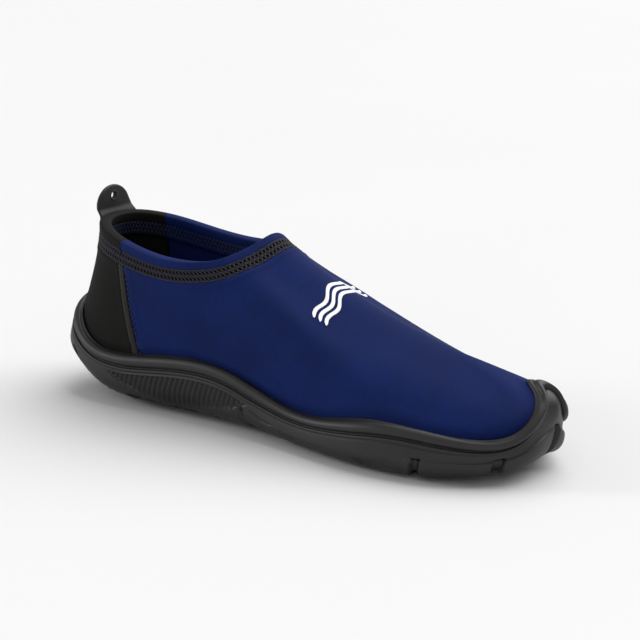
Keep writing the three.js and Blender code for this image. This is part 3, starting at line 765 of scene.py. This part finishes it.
def wall_relief(points, rows, squeeze):
    """How far the moulded detail stands out of the sole's wall, or is sunk in it."""
    u = SOLE_U[:, None]
    x, z = points[..., 0], points[..., 2]
    front = frontness(u) ** 12
    lip = np.sqrt(np.clip(1 - ((rows - LIP_WIDTH / 2) / (LIP_WIDTH / 2)) ** 2, 0, 1))
    height = lip * (LIP_HEIGHT + 0.5 * front)
    height -= (1.0 + 0.4 * front) * hump(rows, 6.3, 0.5)
    second = (1 - front) * smooth(rows, 6.7, 7.3)
    height += 0.35 * second * (1 - smooth(rows, 8.0, 8.6))
    height -= 0.5 * second * hump(rows, 8.75, 0.35)
    height *= mix(0.75, 1, smooth(squeeze, 0.45, 1))[:, None]

    # the way round the sole's widest line from the heel, counted from each side
    wide_row = LIP_ROWS.size + WALL_ROWS - 1
    belt = points[:, wide_row]
    round_way = np.concatenate([[0], np.cumsum(np.linalg.norm(np.diff(belt, axis=0), axis=1))])
    girth = round_way[-1] + np.linalg.norm(belt[0] - belt[-1])
    tip = np.interp(TOE, SOLE_U, round_way)
    inner_way = (girth - round_way[:, None]) * tip / (girth - tip)
    from_heel = np.where(u < TOE, round_way[:, None], inner_way)
    from_heel = np.broadcast_to(from_heel, x.shape)
    past_tip = np.broadcast_to(round_way[:, None] - tip, x.shape)
    wide_z = belt[:, None, 2]

    # ribbed lens on the arch
    lens_low = np.interp(from_heel, LENS_WAY, LENS_LOW)
    inside = smooth(rows, 9.7, 10.5) * smooth(z, lens_low - 0.2, lens_low + 0.5)
    inside *= smooth(from_heel, *RIBS_START) * (1 - smooth(from_heel, *RIBS_END))
    phase = (from_heel - 0.12 * (z - 12) - 0.014 * (z - 12) ** 2) / RIB_PITCH
    rib = (0.5 + 0.5 * np.cos(2 * np.pi * phase)) ** 1.4
    height -= RIB_DEPTH * rib * inside
    border = hump(z, lens_low - 0.6, 0.45) * smooth(from_heel, *BORDER_START)
    height -= 0.6 * border * (1 - smooth(from_heel, *BORDER_END)) * smooth(rows, 9.4, 10.4)

    # carved lines: hooks at the heel's corner, the gap under the arch, the deep hook ahead of it
    for line, width, depth in CARVED:
        height -= depth * hump(near_line(from_heel, z, line), 0, width)
    oval = np.hypot((from_heel - HOLLOW_PLACE[0]) / HOLLOW_HALF[0],
                    (z - HOLLOW_PLACE[1]) / HOLLOW_HALF[1])
    height -= HOLLOW_DEPTH * (1 - smooth(oval, 0.75, 1.1))

    # blocks round the toe, flush with the wall, with notches between them
    low = 1 - smooth(z, wide_z + 0.2, wide_z + 0.9)
    block = smooth(from_heel, *BLOCKS_START)
    height += BLOCK_HEIGHT * low * block
    for notch, half in NOTCHES:
        cut = 1 - smooth(np.abs(past_tip - notch - 0.25 * (z - 10)), half - 0.6, half + 0.5)
        height -= NOTCH_DEPTH * cut * (1 - smooth(z, wide_z + 0.4, wide_z + 1.6))
    return height


def sole_sheets():
    points, rows, squeeze, top, t_top = sole_wall()
    along = unit(np.roll(points, -1, axis=0) - np.roll(points, 1, axis=0))
    down = unit(np.gradient(points, axis=1))
    normal = unit(np.cross(down, along))
    relief = wall_relief(points, rows, squeeze)
    wall = points + normal * relief[..., None]

    u = SOLE_U
    floor = off_upper(u, np.zeros(len(u)), GAP)
    floor[:, 2] = on_ring(LIFT, u) + PLATE_TOP
    shares = np.array([0.25, 0.5, 0.75, 0.9, 0.97])
    inside = [off_upper(u, t_top * share, GAP - 0.2) for share in shares]
    out = np.concatenate([outwards(u), np.zeros((len(u), 1))], 1)
    start = wall[:, 0]
    reach = ((start - top) * out).sum(1)[:, None]
    turn = np.linspace(0, np.pi / 2, 5)[:-1]
    rim = [
        top + out * reach * (1 - np.cos(a)) + np.array([0, 0, 0.9]) * np.sin(a) * 0.9
        for a in turn
    ]
    grid = np.stack([floor, *inside, *rim], axis=1)
    grid = np.concatenate([grid, wall], axis=1)
    sheets = [Sheet(grid, None, True, False)]
    edge = grid[:, -1]
    sheets.append(lid(edge, 6))
    sheets.append(lid(floor, 4))
    return sheets + lug_sheets()


def tread_at(x, side):
    u = np.linspace(0, TOE, 400) if side < 0 else np.linspace(STATIONS, TOE, 400)
    edge = outline(u) - outwards(u) * on_ring(TUCK, u)[:, None]
    return np.interp(x, edge[:, 0], edge[:, 1]), np.interp(x, edge[:, 0], on_ring(LIFT, u))


def lug(corners, foot, top):
    """One tread block with rounded corners and edges, from its foot up into the sole."""
    corners = np.array(corners, float)
    outline_points = []
    for k in range(4):
        here, before, after = corners[k], corners[k - 1], corners[(k + 1) % 4]
        a, b = here + unit(before - here) * 1.1, here + unit(after - here) * 1.1
        for s in (0, 0.33, 0.67, 1):
            outline_points.append((1 - s) ** 2 * a + 2 * s * (1 - s) * here + s**2 * b)
    ring = np.array(outline_points)
    middle = ring.mean(0)
    levels = []
    for shrink, z in ((0, foot), (0.6, foot), (0.93, foot), (0.98, foot + 0.2), (1, foot + 0.6),
                      (1.03, top)):
        flat = middle + (ring - middle) * shrink
        levels.append(np.concatenate([flat, np.full((len(ring), 1), z)], 1))
    hub = np.tile(middle, (len(ring), 1))
    levels.append(np.concatenate([hub, np.full((len(ring), 1), top)], 1))
    return Sheet(np.stack(levels, 1), None, True, False)


TREAD_CHANNEL = 3  # half the width of the channel along the tread's middle
CHEVRON_GAP = 1.5  # half the gap between the two lugs of one side
BARE_ENDS = 4  # insets of bare rubber before the first row and after the last


def lug_sheets():
    span = SHOE_LENGTH / 2 - LUG_LENGTH - BARE_ENDS * LUG_INSET
    rows = math.floor(2 * span / LUG_PITCH)
    made = []
    for i in range(rows + 1):
        x = mix(-span, span - LUG_SKEW, i / rows)
        for side in (-1, 1):
            y, base = tread_at(x, side)
            foot = max(0, base - LUG_DEPTH)
            edge = y - side * LUG_INSET
            middle = mix(side * TREAD_CHANNEL, edge, 0.5)
            for inner, far, skew in (
                (side * TREAD_CHANNEL, middle - side * CHEVRON_GAP, LUG_SKEW),
                (middle + side * CHEVRON_GAP, edge, -LUG_SKEW),
            ):
                half = LUG_LENGTH / 2
                corners = [(x - half, inner), (x + half, inner),
                           (x + half + skew, far), (x - half + skew, far)]
                made.append(lug(corners, foot, base + PLATE_TOP / 2))
    return made


# ---------- The pull tab ----------
TAB_LOW, TAB_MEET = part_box("pull_tab_base")
_, FLAP_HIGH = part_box("pull_tab_flap")
TAB_X = (TAB_LOW.x + TAB_MEET.x) / 2 / MM
TAB_Y = (TAB_LOW.y + TAB_MEET.y) / 2 / MM
TAB_HALF = (TAB_MEET.y - TAB_LOW.y) / 2 / MM
TAB_THICK = (TAB_MEET.x - TAB_LOW.x) / MM
TAB_FOOT, TAB_TIP = TAB_LOW.z / MM, FLAP_HIGH.z / MM
HOLE = (TAB_Y, TAB_TIP - 5.5)
HOLE_RADIUS = 1.5
TAB_STITCH_PITCH, TAB_THREAD = 2.4, 0.28


def heel_face():
    """x of the heel's face at places (y, z), as a function."""
    levels = np.linspace(74, 88.8, 24)
    u = np.linspace(-2.4, 2.4, 61)
    table = []
    for level in levels:
        t = t_at_height(u, np.full(len(u), level))
        points = upper_point(u, t)
        order = np.argsort(points[:, 1])
        table.append((points[order, 1], points[order, 0]))

    def at(y, z):
        shape = y.shape
        y, z = y.ravel(), z.ravel()
        k = np.clip((z - levels[0]) / (levels[1] - levels[0]), 0, len(levels) - 1.001)
        i = k.astype(int)
        columns = np.array([np.interp(y, *line) for line in table])
        index = np.arange(len(y))
        return mix(columns[i, index], columns[i + 1, index], k - i).reshape(shape)

    return at


HEEL_FACE = heel_face()


def tab_centre(y, z):
    """x of the middle of the tab's thickness: sewn round the heel below, nearly flat above."""
    face = HEEL_FACE
    clear = 0.75 + TAB_THICK / 2
    sewn = face(y, np.minimum(z, 88.5)) - clear
    straight = face(np.full(y.shape, TAB_Y), np.minimum(z, 88.5)) - clear
    hold = mix(1, 0.12, smooth(z, 83, 95))
    curved = mix(straight, sewn, hold)
    lean = smooth(z, 87, 91)
    upright = TAB_X + (curved - straight)
    return mix(curved, upright, lean)


def tab_sheets():
    """Rays from the hole's edge out to the tab's outline, front and back."""
    angle = np.linspace(0, 2 * np.pi, 220, endpoint=False)
    ray = np.stack([np.cos(angle), np.sin(angle)], -1)
    hole = np.array(HOLE) + ray * HOLE_RADIUS
    # the outline: a rounded rectangle below, an ellipse above the shoulder
    shoulder = TAB_TIP - TAB_HALF * 0.92
    reach = np.linspace(0.1, 40, 1600)
    spots = np.array(HOLE) + ray[:, None] * reach[None, :, None]
    y, z = spots[..., 0] - TAB_Y, spots[..., 1]
    in_top = (y / TAB_HALF) ** 2 + ((z - shoulder) / (TAB_TIP - shoulder)) ** 2 < 1
    corner = 3.0
    cy = np.maximum(np.abs(y) - (TAB_HALF - corner), 0)
    cz = np.maximum((TAB_FOOT + corner) - z, 0)
    in_body = (np.abs(y) < TAB_HALF) & (z <= shoulder) & (np.hypot(cy, cz) < corner)
    inside = in_top & (z > shoulder) | in_body
    far = reach[np.argmin(inside, axis=1)]
    rim = np.array(HOLE) + ray * far[:, None]

    length = far - HOLE_RADIUS
    edge_rows = np.array([0, 0.08, 0.22, 0.42, 0.68, 1.0])
    shares = []
    for span in length:
        body = np.linspace(1.0, span - 1.0, 26)[1:-1]
        shares.append(np.concatenate([edge_rows, body, span - edge_rows[::-1]]) / span)
    shares = np.array(shares)
    flat = hole[:, None] * (1 - shares[..., None]) + rim[:, None] * shares[..., None]
    from_rim = np.minimum(shares * length[:, None], (1 - shares) * length[:, None])
    round_edge = np.sqrt(np.clip(1 - (1 - np.minimum(from_rim, 1.0)) ** 2, 0, 1))
    from_hole = shares * length[:, None]
    collar = 0.3 * smooth(from_hole, 0, 0.4) * (1 - smooth(from_hole, 0.8, 1.2))
    thickness = (TAB_THICK / 2 - 0.05) * mix(0.12, 1, round_edge) + collar
    thickness = thickness * mix(1, 0.88, smooth(flat[..., 1], 88, 80))
    centre = tab_centre(flat[..., 0], flat[..., 1])
    front = np.stack([centre - thickness, flat[..., 0], flat[..., 1]], -1)
    back = np.stack([centre + thickness, flat[..., 0], flat[..., 1]], -1)
    grid = np.concatenate([front, back[:, ::-1]], axis=1)
    return [Sheet(grid, None, True, True)]


def tab_stitch_sheets():
    """A frame of stitches through the sewn part of the tab."""
    low, high = TAB_FOOT + 2.0, HEEL_HEIGHT - 1.0
    half = TAB_HALF - 2.2
    corners = np.array([(-half, low), (half, low), (half, high), (-half, high), (-half, low)])
    sheets = []
    for a, b in zip(corners[:-1], corners[1:]):
        span = np.linalg.norm(b - a)
        count = max(2, round(span / TAB_STITCH_PITCH))
        for k in range(count):
            share = (k + np.linspace(0.1, 0.9, 11)) / count
            line = a[None] * (1 - share[:, None]) + b[None] * share[:, None]
            y, z = line[:, 0] + TAB_Y, line[:, 1]
            arch = np.cos(np.linspace(-np.pi / 2, np.pi / 2, 11))
            face = tab_centre(y, z) - TAB_THICK / 2 + 0.2
            path = np.stack([face - 0.42 * arch, y, z], -1)
            normals = np.tile([-1.0, 0, 0], (11, 1))
            sheets.append(thread(path, normals, TAB_THREAD, flatten=0.9))
    return sheets


# ---------- The printed mark ----------
def on_instep(across, ahead):
    """The place on the upper's ridge that lies so far across it and in front of the throat."""
    target = np.stack([upper_point(TOE, 1)[0] + ahead, across], -1)
    u = TOE + np.where(across < 0, -1.0, 1.0)
    t = np.full(u.shape, 0.6)
    step = 0.01
    for _ in range(14):
        here = upper_point(u, t)
        by_u = (upper_point(u + step, t) - here) / step
        by_t = (upper_point(u, t - step) - here) / -step
        miss = target - here[..., :2]
        det = by_u[..., 0] * by_t[..., 1] - by_t[..., 0] * by_u[..., 1]
        move = (miss[..., 0] * by_t[..., 1] - by_t[..., 0] * miss[..., 1]) / det
        u = u + np.clip(move, -1, 1)
        rise = (by_u[..., 0] * miss[..., 1] - miss[..., 0] * by_u[..., 1]) / det
        t = np.clip(t + rise, 0.05, 0.98)
    return u, t


def wave_sheets(place):
    along = np.linspace(0, 1, 161)[:, None]
    across = np.linspace(-0.5, 0.5, 9)[None, :]
    along, across = np.broadcast_arrays(along, across)
    y = (along - 0.5) * MARK_LENGTH
    wave = MARK_WAVE * np.sin(along * 6 * np.pi)
    taper = np.minimum(1, np.minimum(along, 1 - along) * 26 + 0.25)
    ahead = MARK_SETBACK - MARK_SLANT * y + place - wave - across * MARK_STRIPE * taper
    u, t = on_instep(y, ahead)
    skin, normal = upper_point(u, t), upper_normal(u, t)
    top = 0.34 + 0.08 * (1 - (2 * across) ** 4)
    upper = skin + normal * top[..., None]
    lower = skin + normal * 0.02
    laid = np.stack([y, across * MARK_STRIPE, 0 * y], -1)
    sheets = [
        Sheet(np.concatenate([upper, lower[:, ::-1]], 1), np.concatenate([laid, laid[:, ::-1]], 1),
              False, True)
    ]
    for end in (0, -1):
        sheets.append(Sheet(np.stack([upper[end], lower[end]], 1), np.stack([laid[end]] * 2, 1)))
    return sheets


# ---------- Finishes ----------
class Value:
    """A socket of a finish. Arithmetic on it adds Math nodes."""

    def __init__(self, finish, socket):
        self.finish, self.socket = finish, socket

    def __add__(self, other):
        return self.finish.math("ADD", self, other)

    def __sub__(self, other):
        return self.finish.math("SUBTRACT", self, other)

    def __rsub__(self, other):
        return self.finish.math("SUBTRACT", other, self)

    def __mul__(self, other):
        return self.finish.math("MULTIPLY", self, other)

    def __truediv__(self, other):
        return self.finish.math("DIVIDE", self, other)

    def __pow__(self, power):
        return self.finish.math("POWER", self, power)

    __radd__, __rmul__ = __add__, __mul__


def colour(code):
    """A colour from its six-figure screen code."""
    parts = [int(code[k : k + 2], 16) / 255 for k in (0, 2, 4)]
    return [p / 12.92 if p < 0.04045 else ((p + 0.055) / 1.055) ** 2.4 for p in parts] + [1]


class Finish:
    def __init__(self, name, **shader):
        self.material = bpy.data.materials.new(name)
        self.material.use_nodes = True
        self.tree = self.material.node_tree
        self.shader = next(n for n in self.tree.nodes if n.type == "BSDF_PRINCIPLED")
        for words, value in shader.items():
            self.shader.inputs[words.replace("_", " ")].default_value = value

    def add(self, kind, settings=(), sockets=(), output=0):
        node = self.tree.nodes.new("ShaderNode" + kind)
        for setting, value in dict(settings).items():
            if setting == "stops":
                for element, (place, shade) in zip(node.color_ramp.elements, value):
                    element.position, element.color = place, shade
            else:
                setattr(node, setting, value)
        for key, value in dict(sockets).items():
            self.give(node.inputs[key], value)
        return Value(self, node.outputs[output])

    def give(self, socket, value):
        if isinstance(value, Value):
            self.tree.links.new(value.socket, socket)
        else:
            socket.default_value = value

    def math(self, operation, first, second=0.0):
        return self.add("Math", {"operation": operation}, {0: first, 1: second})

    def sine(self, value):
        return self.math("SINE", value)

    def between(self, value, low, high):
        """0 below low, 1 above high, smooth between."""
        sockets = {"Value": value, "From Min": low, "From Max": high}
        return self.add("MapRange", {"interpolation_type": "SMOOTHSTEP"}, sockets)

    def tint(self, share, under, over):
        return self.add("Mix", {"data_type": "RGBA"}, {0: share, 6: under, 7: over}, 2)

    def laid(self):
        """The way along, the way across and the side, in millimetres, that a piece is laid by."""
        vector = self.add("Attribute", {"attribute_name": "laid"}, (), "Vector")
        return vector, [self.add("SeparateXYZ", (), {0: vector}, k) for k in range(3)]

    def place(self, scale):
        """A place on the piece, in its own frame, where 1 is so many metres."""
        spot = self.add("TexCoord", (), (), "Object")
        return self.add("VectorMath", {"operation": "SCALE"}, {0: spot, "Scale": 1 / scale})

    def noise(self, where, detail=3, roughness=0.55):
        sockets = {"Vector": where, "Scale": 1.0, "Detail": detail, "Roughness": roughness}
        return self.add("TexNoise", (), sockets)

    def bump(self, height, depth, strength=1.0):
        """Relief of so many millimetres."""
        values = {"Height": height, "Distance": depth * MM, "Strength": strength}
        return self.add("Bump", (), values)

    def wear(self, **values):
        """Feeds the shader's own sockets."""
        for words, value in values.items():
            self.give(self.shader.inputs[words.replace("_", " ")], value)
        return self.material


def jersey(name, deep, bright, worn, sheen):
    """The fine knit that covers neoprene: wales that run up the shoe, a soft sheen, faint lint."""
    cloth = Finish(name, Sheen_Weight=sheen, Sheen_Roughness=0.35, Specular_IOR_Level=0.12)
    cloth.shader.inputs["Sheen Tint"].default_value = bright
    _, (along, up, _) = cloth.laid()
    wale = cloth.sine(along * (2 * math.pi / 0.95))
    course = cloth.sine(up * (2 * math.pi / 0.75) + wale * 1.4)
    stitch = wale * 0.5 + course * 0.35 + wale * course * 0.25
    broad = cloth.noise(cloth.place(0.034), 4)
    fine = cloth.noise(cloth.place(0.0028), 3, 0.7)
    lint = cloth.between(cloth.noise(cloth.place(0.0011), 2), 0.68, 0.8)
    shade = cloth.between(broad * 0.6 + fine * 0.4 + stitch * 0.04, 0.3, 0.7)
    cover = cloth.tint(shade, deep, bright)
    cover = cloth.tint(lint * 0.10, cover, worn)
    relief = stitch * 0.45 + fine * 0.5
    return cloth.wear(
        Base_Color=cover, Roughness=0.7 + fine * 0.16 + stitch * 0.03,
        Normal=cloth.bump(relief, 0.09, 0.7),
    )


def rubber(name, dark, pale, rough, coarse=1.0):
    """Moulded rubber: a fine moulded grain, a dusty bloom that comes and goes at random, and
    scattered scuffs.
    """
    sole = Finish(name, Specular_IOR_Level=0.42)
    grain = sole.noise(sole.place(0.0009 * coarse), 3, 0.6)
    broad = sole.noise(sole.place(0.03), 4)
    scuff = sole.between(sole.noise(sole.place(0.006), 5, 0.7), 0.56, 0.74)
    shade = sole.tint(sole.between(broad, 0.35, 0.65), dark, pale)
    worn = [min(1, c * 1.8 + 0.01) for c in pale[:3]] + [1]
    shade = sole.tint(scuff * 0.28, shade, worn)
    return sole.wear(
        Base_Color=shade, Roughness=rough + grain * 0.12 + scuff * 0.1,
        Normal=sole.bump(grain * 0.6 + broad * 0.4, 0.07, 0.6),
    )


def yarn(name, dark, pale, twist=0.9, shine=0.4):
    """Spun thread: plies that wind round it, and a soft shine."""
    thread_finish = Finish(name, Sheen_Weight=0.04, Sheen_Roughness=0.4, Specular_IOR_Level=shine)
    _, (along, round_it, _) = thread_finish.laid()
    ply = thread_finish.sine(along * (2 * math.pi / twist) + round_it * 2)
    fuzz = thread_finish.noise(thread_finish.place(0.0007), 3)
    shade = thread_finish.tint(ply * 0.3 + fuzz * 0.6 + 0.1, dark, pale)
    return thread_finish.wear(
        Base_Color=shade, Roughness=0.55 + fuzz * 0.2,
        Normal=thread_finish.bump(ply * 0.6 + fuzz * 0.3, 0.08, 0.7),
    )


def woven_board():
    """The board under the footbed: a coarse plain weave of pale yarn."""
    board = Finish("board_weave", Specular_IOR_Level=0.3)
    spot = board.place(0.001)
    x, y = (board.add("SeparateXYZ", (), {0: spot}, k) for k in range(2))
    weave = board.sine(x * math.pi) * board.sine(y * math.pi)
    fibre = board.noise(board.place(0.0012), 4)
    shade = board.tint(weave * 0.3 + fibre * 0.7, colour("8f897c"), colour("c9c4b6"))
    return board.wear(Base_Color=shade, Roughness=0.85 + fibre * 0.1,
                      Normal=board.bump(weave + fibre * 0.5, 0.15, 0.8))


def footbed_cloth():
    """The footbed's cover: a brushed knit with a small moulded dimple pattern."""
    cover = Finish("footbed_knit", Sheen_Weight=0.35, Sheen_Roughness=0.4, Specular_IOR_Level=0.2)
    spot = cover.place(0.001)
    x, y = (cover.add("SeparateXYZ", (), {0: spot}, k) for k in range(2))
    dimple = cover.sine(x * (2 * math.pi / 5)) * cover.sine(y * (2 * math.pi / 5))
    knit = cover.sine(x * (2 * math.pi / 0.9)) * cover.sine(y * (2 * math.pi / 1.1))
    fuzz = cover.noise(cover.place(0.0016), 4, 0.7)
    shade = cover.between(fuzz * 0.8 + dimple * 0.12, 0.3, 0.6)
    cloth = cover.tint(shade, colour("121a38"), colour("1e2b5a"))
    return cover.wear(Base_Color=cloth, Roughness=0.82 + fuzz * 0.12,
                      Normal=cover.bump(dimple * 0.9 + knit * 0.3 + fuzz * 0.4, 0.3, 0.8))


def print_film():
    """White ink pressed on the knit, with the wales just showing and small worn specks."""
    ink = Finish("white_print", Specular_IOR_Level=0.45)
    _, (along, up, _) = ink.laid()
    wale = ink.sine(along * (2 * math.pi / 0.95)) * ink.sine(up * (2 * math.pi / 0.75))
    speck = ink.between(ink.noise(ink.place(0.0008), 3), 0.66, 0.78)
    broad = ink.noise(ink.place(0.012), 3)
    shade = ink.tint(broad, colour("f4f5f6"), colour("e2e4e8"))
    shade = ink.tint(speck * 0.35, shade, colour("aab2c6"))
    return ink.wear(Base_Color=shade, Roughness=0.42 + broad * 0.2,
                    Normal=ink.bump(wale + speck * -0.8, 0.05, 0.7))


def floor_finish():
    ground = Finish("studio_floor", Roughness=0.75, Specular_IOR_Level=0.2)
    broad = ground.noise(ground.place(0.4), 2)
    shade = ground.tint(broad, colour("d4d4d4"), colour("d7d7d7"))
    return ground.wear(Base_Color=shade)


NAVY = jersey("navy_jersey", colour("071846"), colour("0a1f58"), colour("2c4688"), 0.05)
BLACK = jersey("black_jersey", colour("0f0e0d"), colour("161514"), colour("3d3b38"), 0.06)
SOLE = rubber("sole_rubber", colour("151516"), colour("1c1c1d"), 0.42)
TAB = rubber("tab_rubber", colour("050506"), colour("09090a"), 0.5, 0.6)
BAND_YARN = yarn("band_thread", colour("17171d"), colour("383842"), shine=0.25)
# the bed's near-black colour is painted shade in the gaps between the collar's threads, over a real
# bed of black looper thread
BED_YARN_PAINTED_SHADE = yarn("band_bed_thread_painted_shade", colour("010102"), colour("030307"), shine=0.04)
SEAM_YARN = yarn("seam_thread", colour("0e0c0a"), colour("221d18"))
BLUE_YARN = yarn("bobbin_thread", colour("0b1230"), colour("17224c"))

# ---------- Assembly ----------
build("moulded_sole", sole_sheets(), SOLE, ["outsole"], weld=True)
build("navy_upper", panel_sheets(beside_seam(0, 1), beside_seam(1, -1), 540), NAVY,
      ["vamp"], weld=True)
build("black_heel", panel_sheets(beside_seam(1, 1) - STATIONS, beside_seam(0, -1), 200), BLACK,
      ["heel_panel"], weld=True)
build("collar_threads", coverstitch_sheets(), BAND_YARN, ["collar_coverstitch"])
build("collar_thread_bed_painted_shade", band_bed_sheets(), BED_YARN_PAINTED_SHADE)
build("collar_bobbin_threads", bobbin_sheets(), BLUE_YARN)
build("heel_seam_threads_outer", heel_seam_sheets(0), SEAM_YARN, ["heel_seam_outer"])
build("heel_seam_threads_inner", heel_seam_sheets(1), SEAM_YARN, ["heel_seam_inner"])
build("sewing_board", board_sheets(), woven_board(), ["strobel_board"], weld=True)
build("board_threads", strobel_sheets(), SEAM_YARN, ["strobel_seam"])
footbed = build("cushioned_footbed", footbed_sheets(), footbed_cloth(),
                ["footbed"], weld=True)
tab = build("heel_tab", tab_sheets(), TAB, ["pull_tab_base", "pull_tab_flap"],
            body=None, weld=True)
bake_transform(tab)
build("heel_tab_stitches", tab_stitch_sheets(), SEAM_YARN, ["pull_tab_stitching"])
film = print_film()
for number in (1, 2, 3):
    build(f"wave_print_{number}", wave_sheets((number - 2) * MARK_PITCH), film,
          [f"instep_wave_{number}"], weld=True)


# ---------- Floor, light and camera ----------
ROOM_LIGHT = 0.42
# Soft lamps: where each stands from the shoe, how wide it looks in degrees, its strength.
LAMPS = [
    ("overhead_softbox", (0.25, 0.75, 1.1), 70, 3.3),
    ("front_fill", (0.5, -1.0, 0.5), 60, 0.4),
    ("raking_light", (-1.0, -0.55, 0.45), 15, 0.8),
]
def studio():
    scene = bpy.context.scene
    scene.view_settings.view_transform = "Standard"
    mesh = bpy.data.meshes.new("floor")
    half, fine = 3.0, 8
    side = np.linspace(-half, half, fine + 1)
    corners = [(x, y, 0) for x in side for y in side]
    faces = [
        (i * (fine + 1) + j, (i + 1) * (fine + 1) + j,
         (i + 1) * (fine + 1) + j + 1, i * (fine + 1) + j + 1)
        for i in range(fine) for j in range(fine)
    ]
    mesh.from_pydata(corners, [], faces)
    mesh.materials.append(floor_finish())
    floor = bpy.data.objects.new("floor", mesh)
    scene.collection.objects.link(floor)

    world = bpy.data.worlds.new("white_room")
    world.use_nodes = True
    world.node_tree.nodes["Background"].inputs["Color"].default_value = (1, 1, 1, 1)
    world.node_tree.nodes["Background"].inputs["Strength"].default_value = 1.0
    scene.world = world

    # the room is white to the eye, and gives a softer light than it shows
    nodes, links = world.node_tree.nodes, world.node_tree.links
    background, output = nodes["Background"], nodes["World Output"]
    background.inputs["Strength"].default_value = ROOM_LIGHT
    shown = nodes.new("ShaderNodeBackground")
    shown.inputs["Color"].default_value = (1, 1, 1, 1)
    path, either = nodes.new("ShaderNodeLightPath"), nodes.new("ShaderNodeMixShader")
    links.new(path.outputs["Is Camera Ray"], either.inputs[0])
    links.new(background.outputs[0], either.inputs[1])
    links.new(shown.outputs[0], either.inputs[2])
    links.new(either.outputs[0], output.inputs["Surface"])

    for name, way, angle, strength in LAMPS:
        lamp = bpy.data.lights.new(name, "SUN")
        lamp.angle, lamp.energy = math.radians(angle), strength
        holder = bpy.data.objects.new(name, lamp)
        holder.rotation_euler = Vector(way).to_track_quat("Z", "Y").to_euler()
        scene.collection.objects.link(holder)


def photographer():
    azimuth, elevation, distance = math.radians(36), math.radians(16), 1.1
    aim = Vector((0.0035, 0, 0.040))
    lens = bpy.data.cameras.new("camera")
    lens.lens, lens.sensor_width = 126.8, 36
    lens.shift_x, lens.shift_y = 0.0172, 0.0367
    lens.clip_start, lens.clip_end = 0.05, 50
    eye = bpy.data.objects.new("camera", lens)
    way = Vector((math.sin(azimuth) * math.cos(elevation), -math.cos(azimuth) * math.cos(elevation),
                  math.sin(elevation)))
    eye.location = aim + way * distance
    eye.rotation_euler = (-way).to_track_quat("-Z", "Y").to_euler()
    bpy.context.scene.collection.objects.link(eye)
    bpy.context.scene.camera = eye


studio()
photographer()
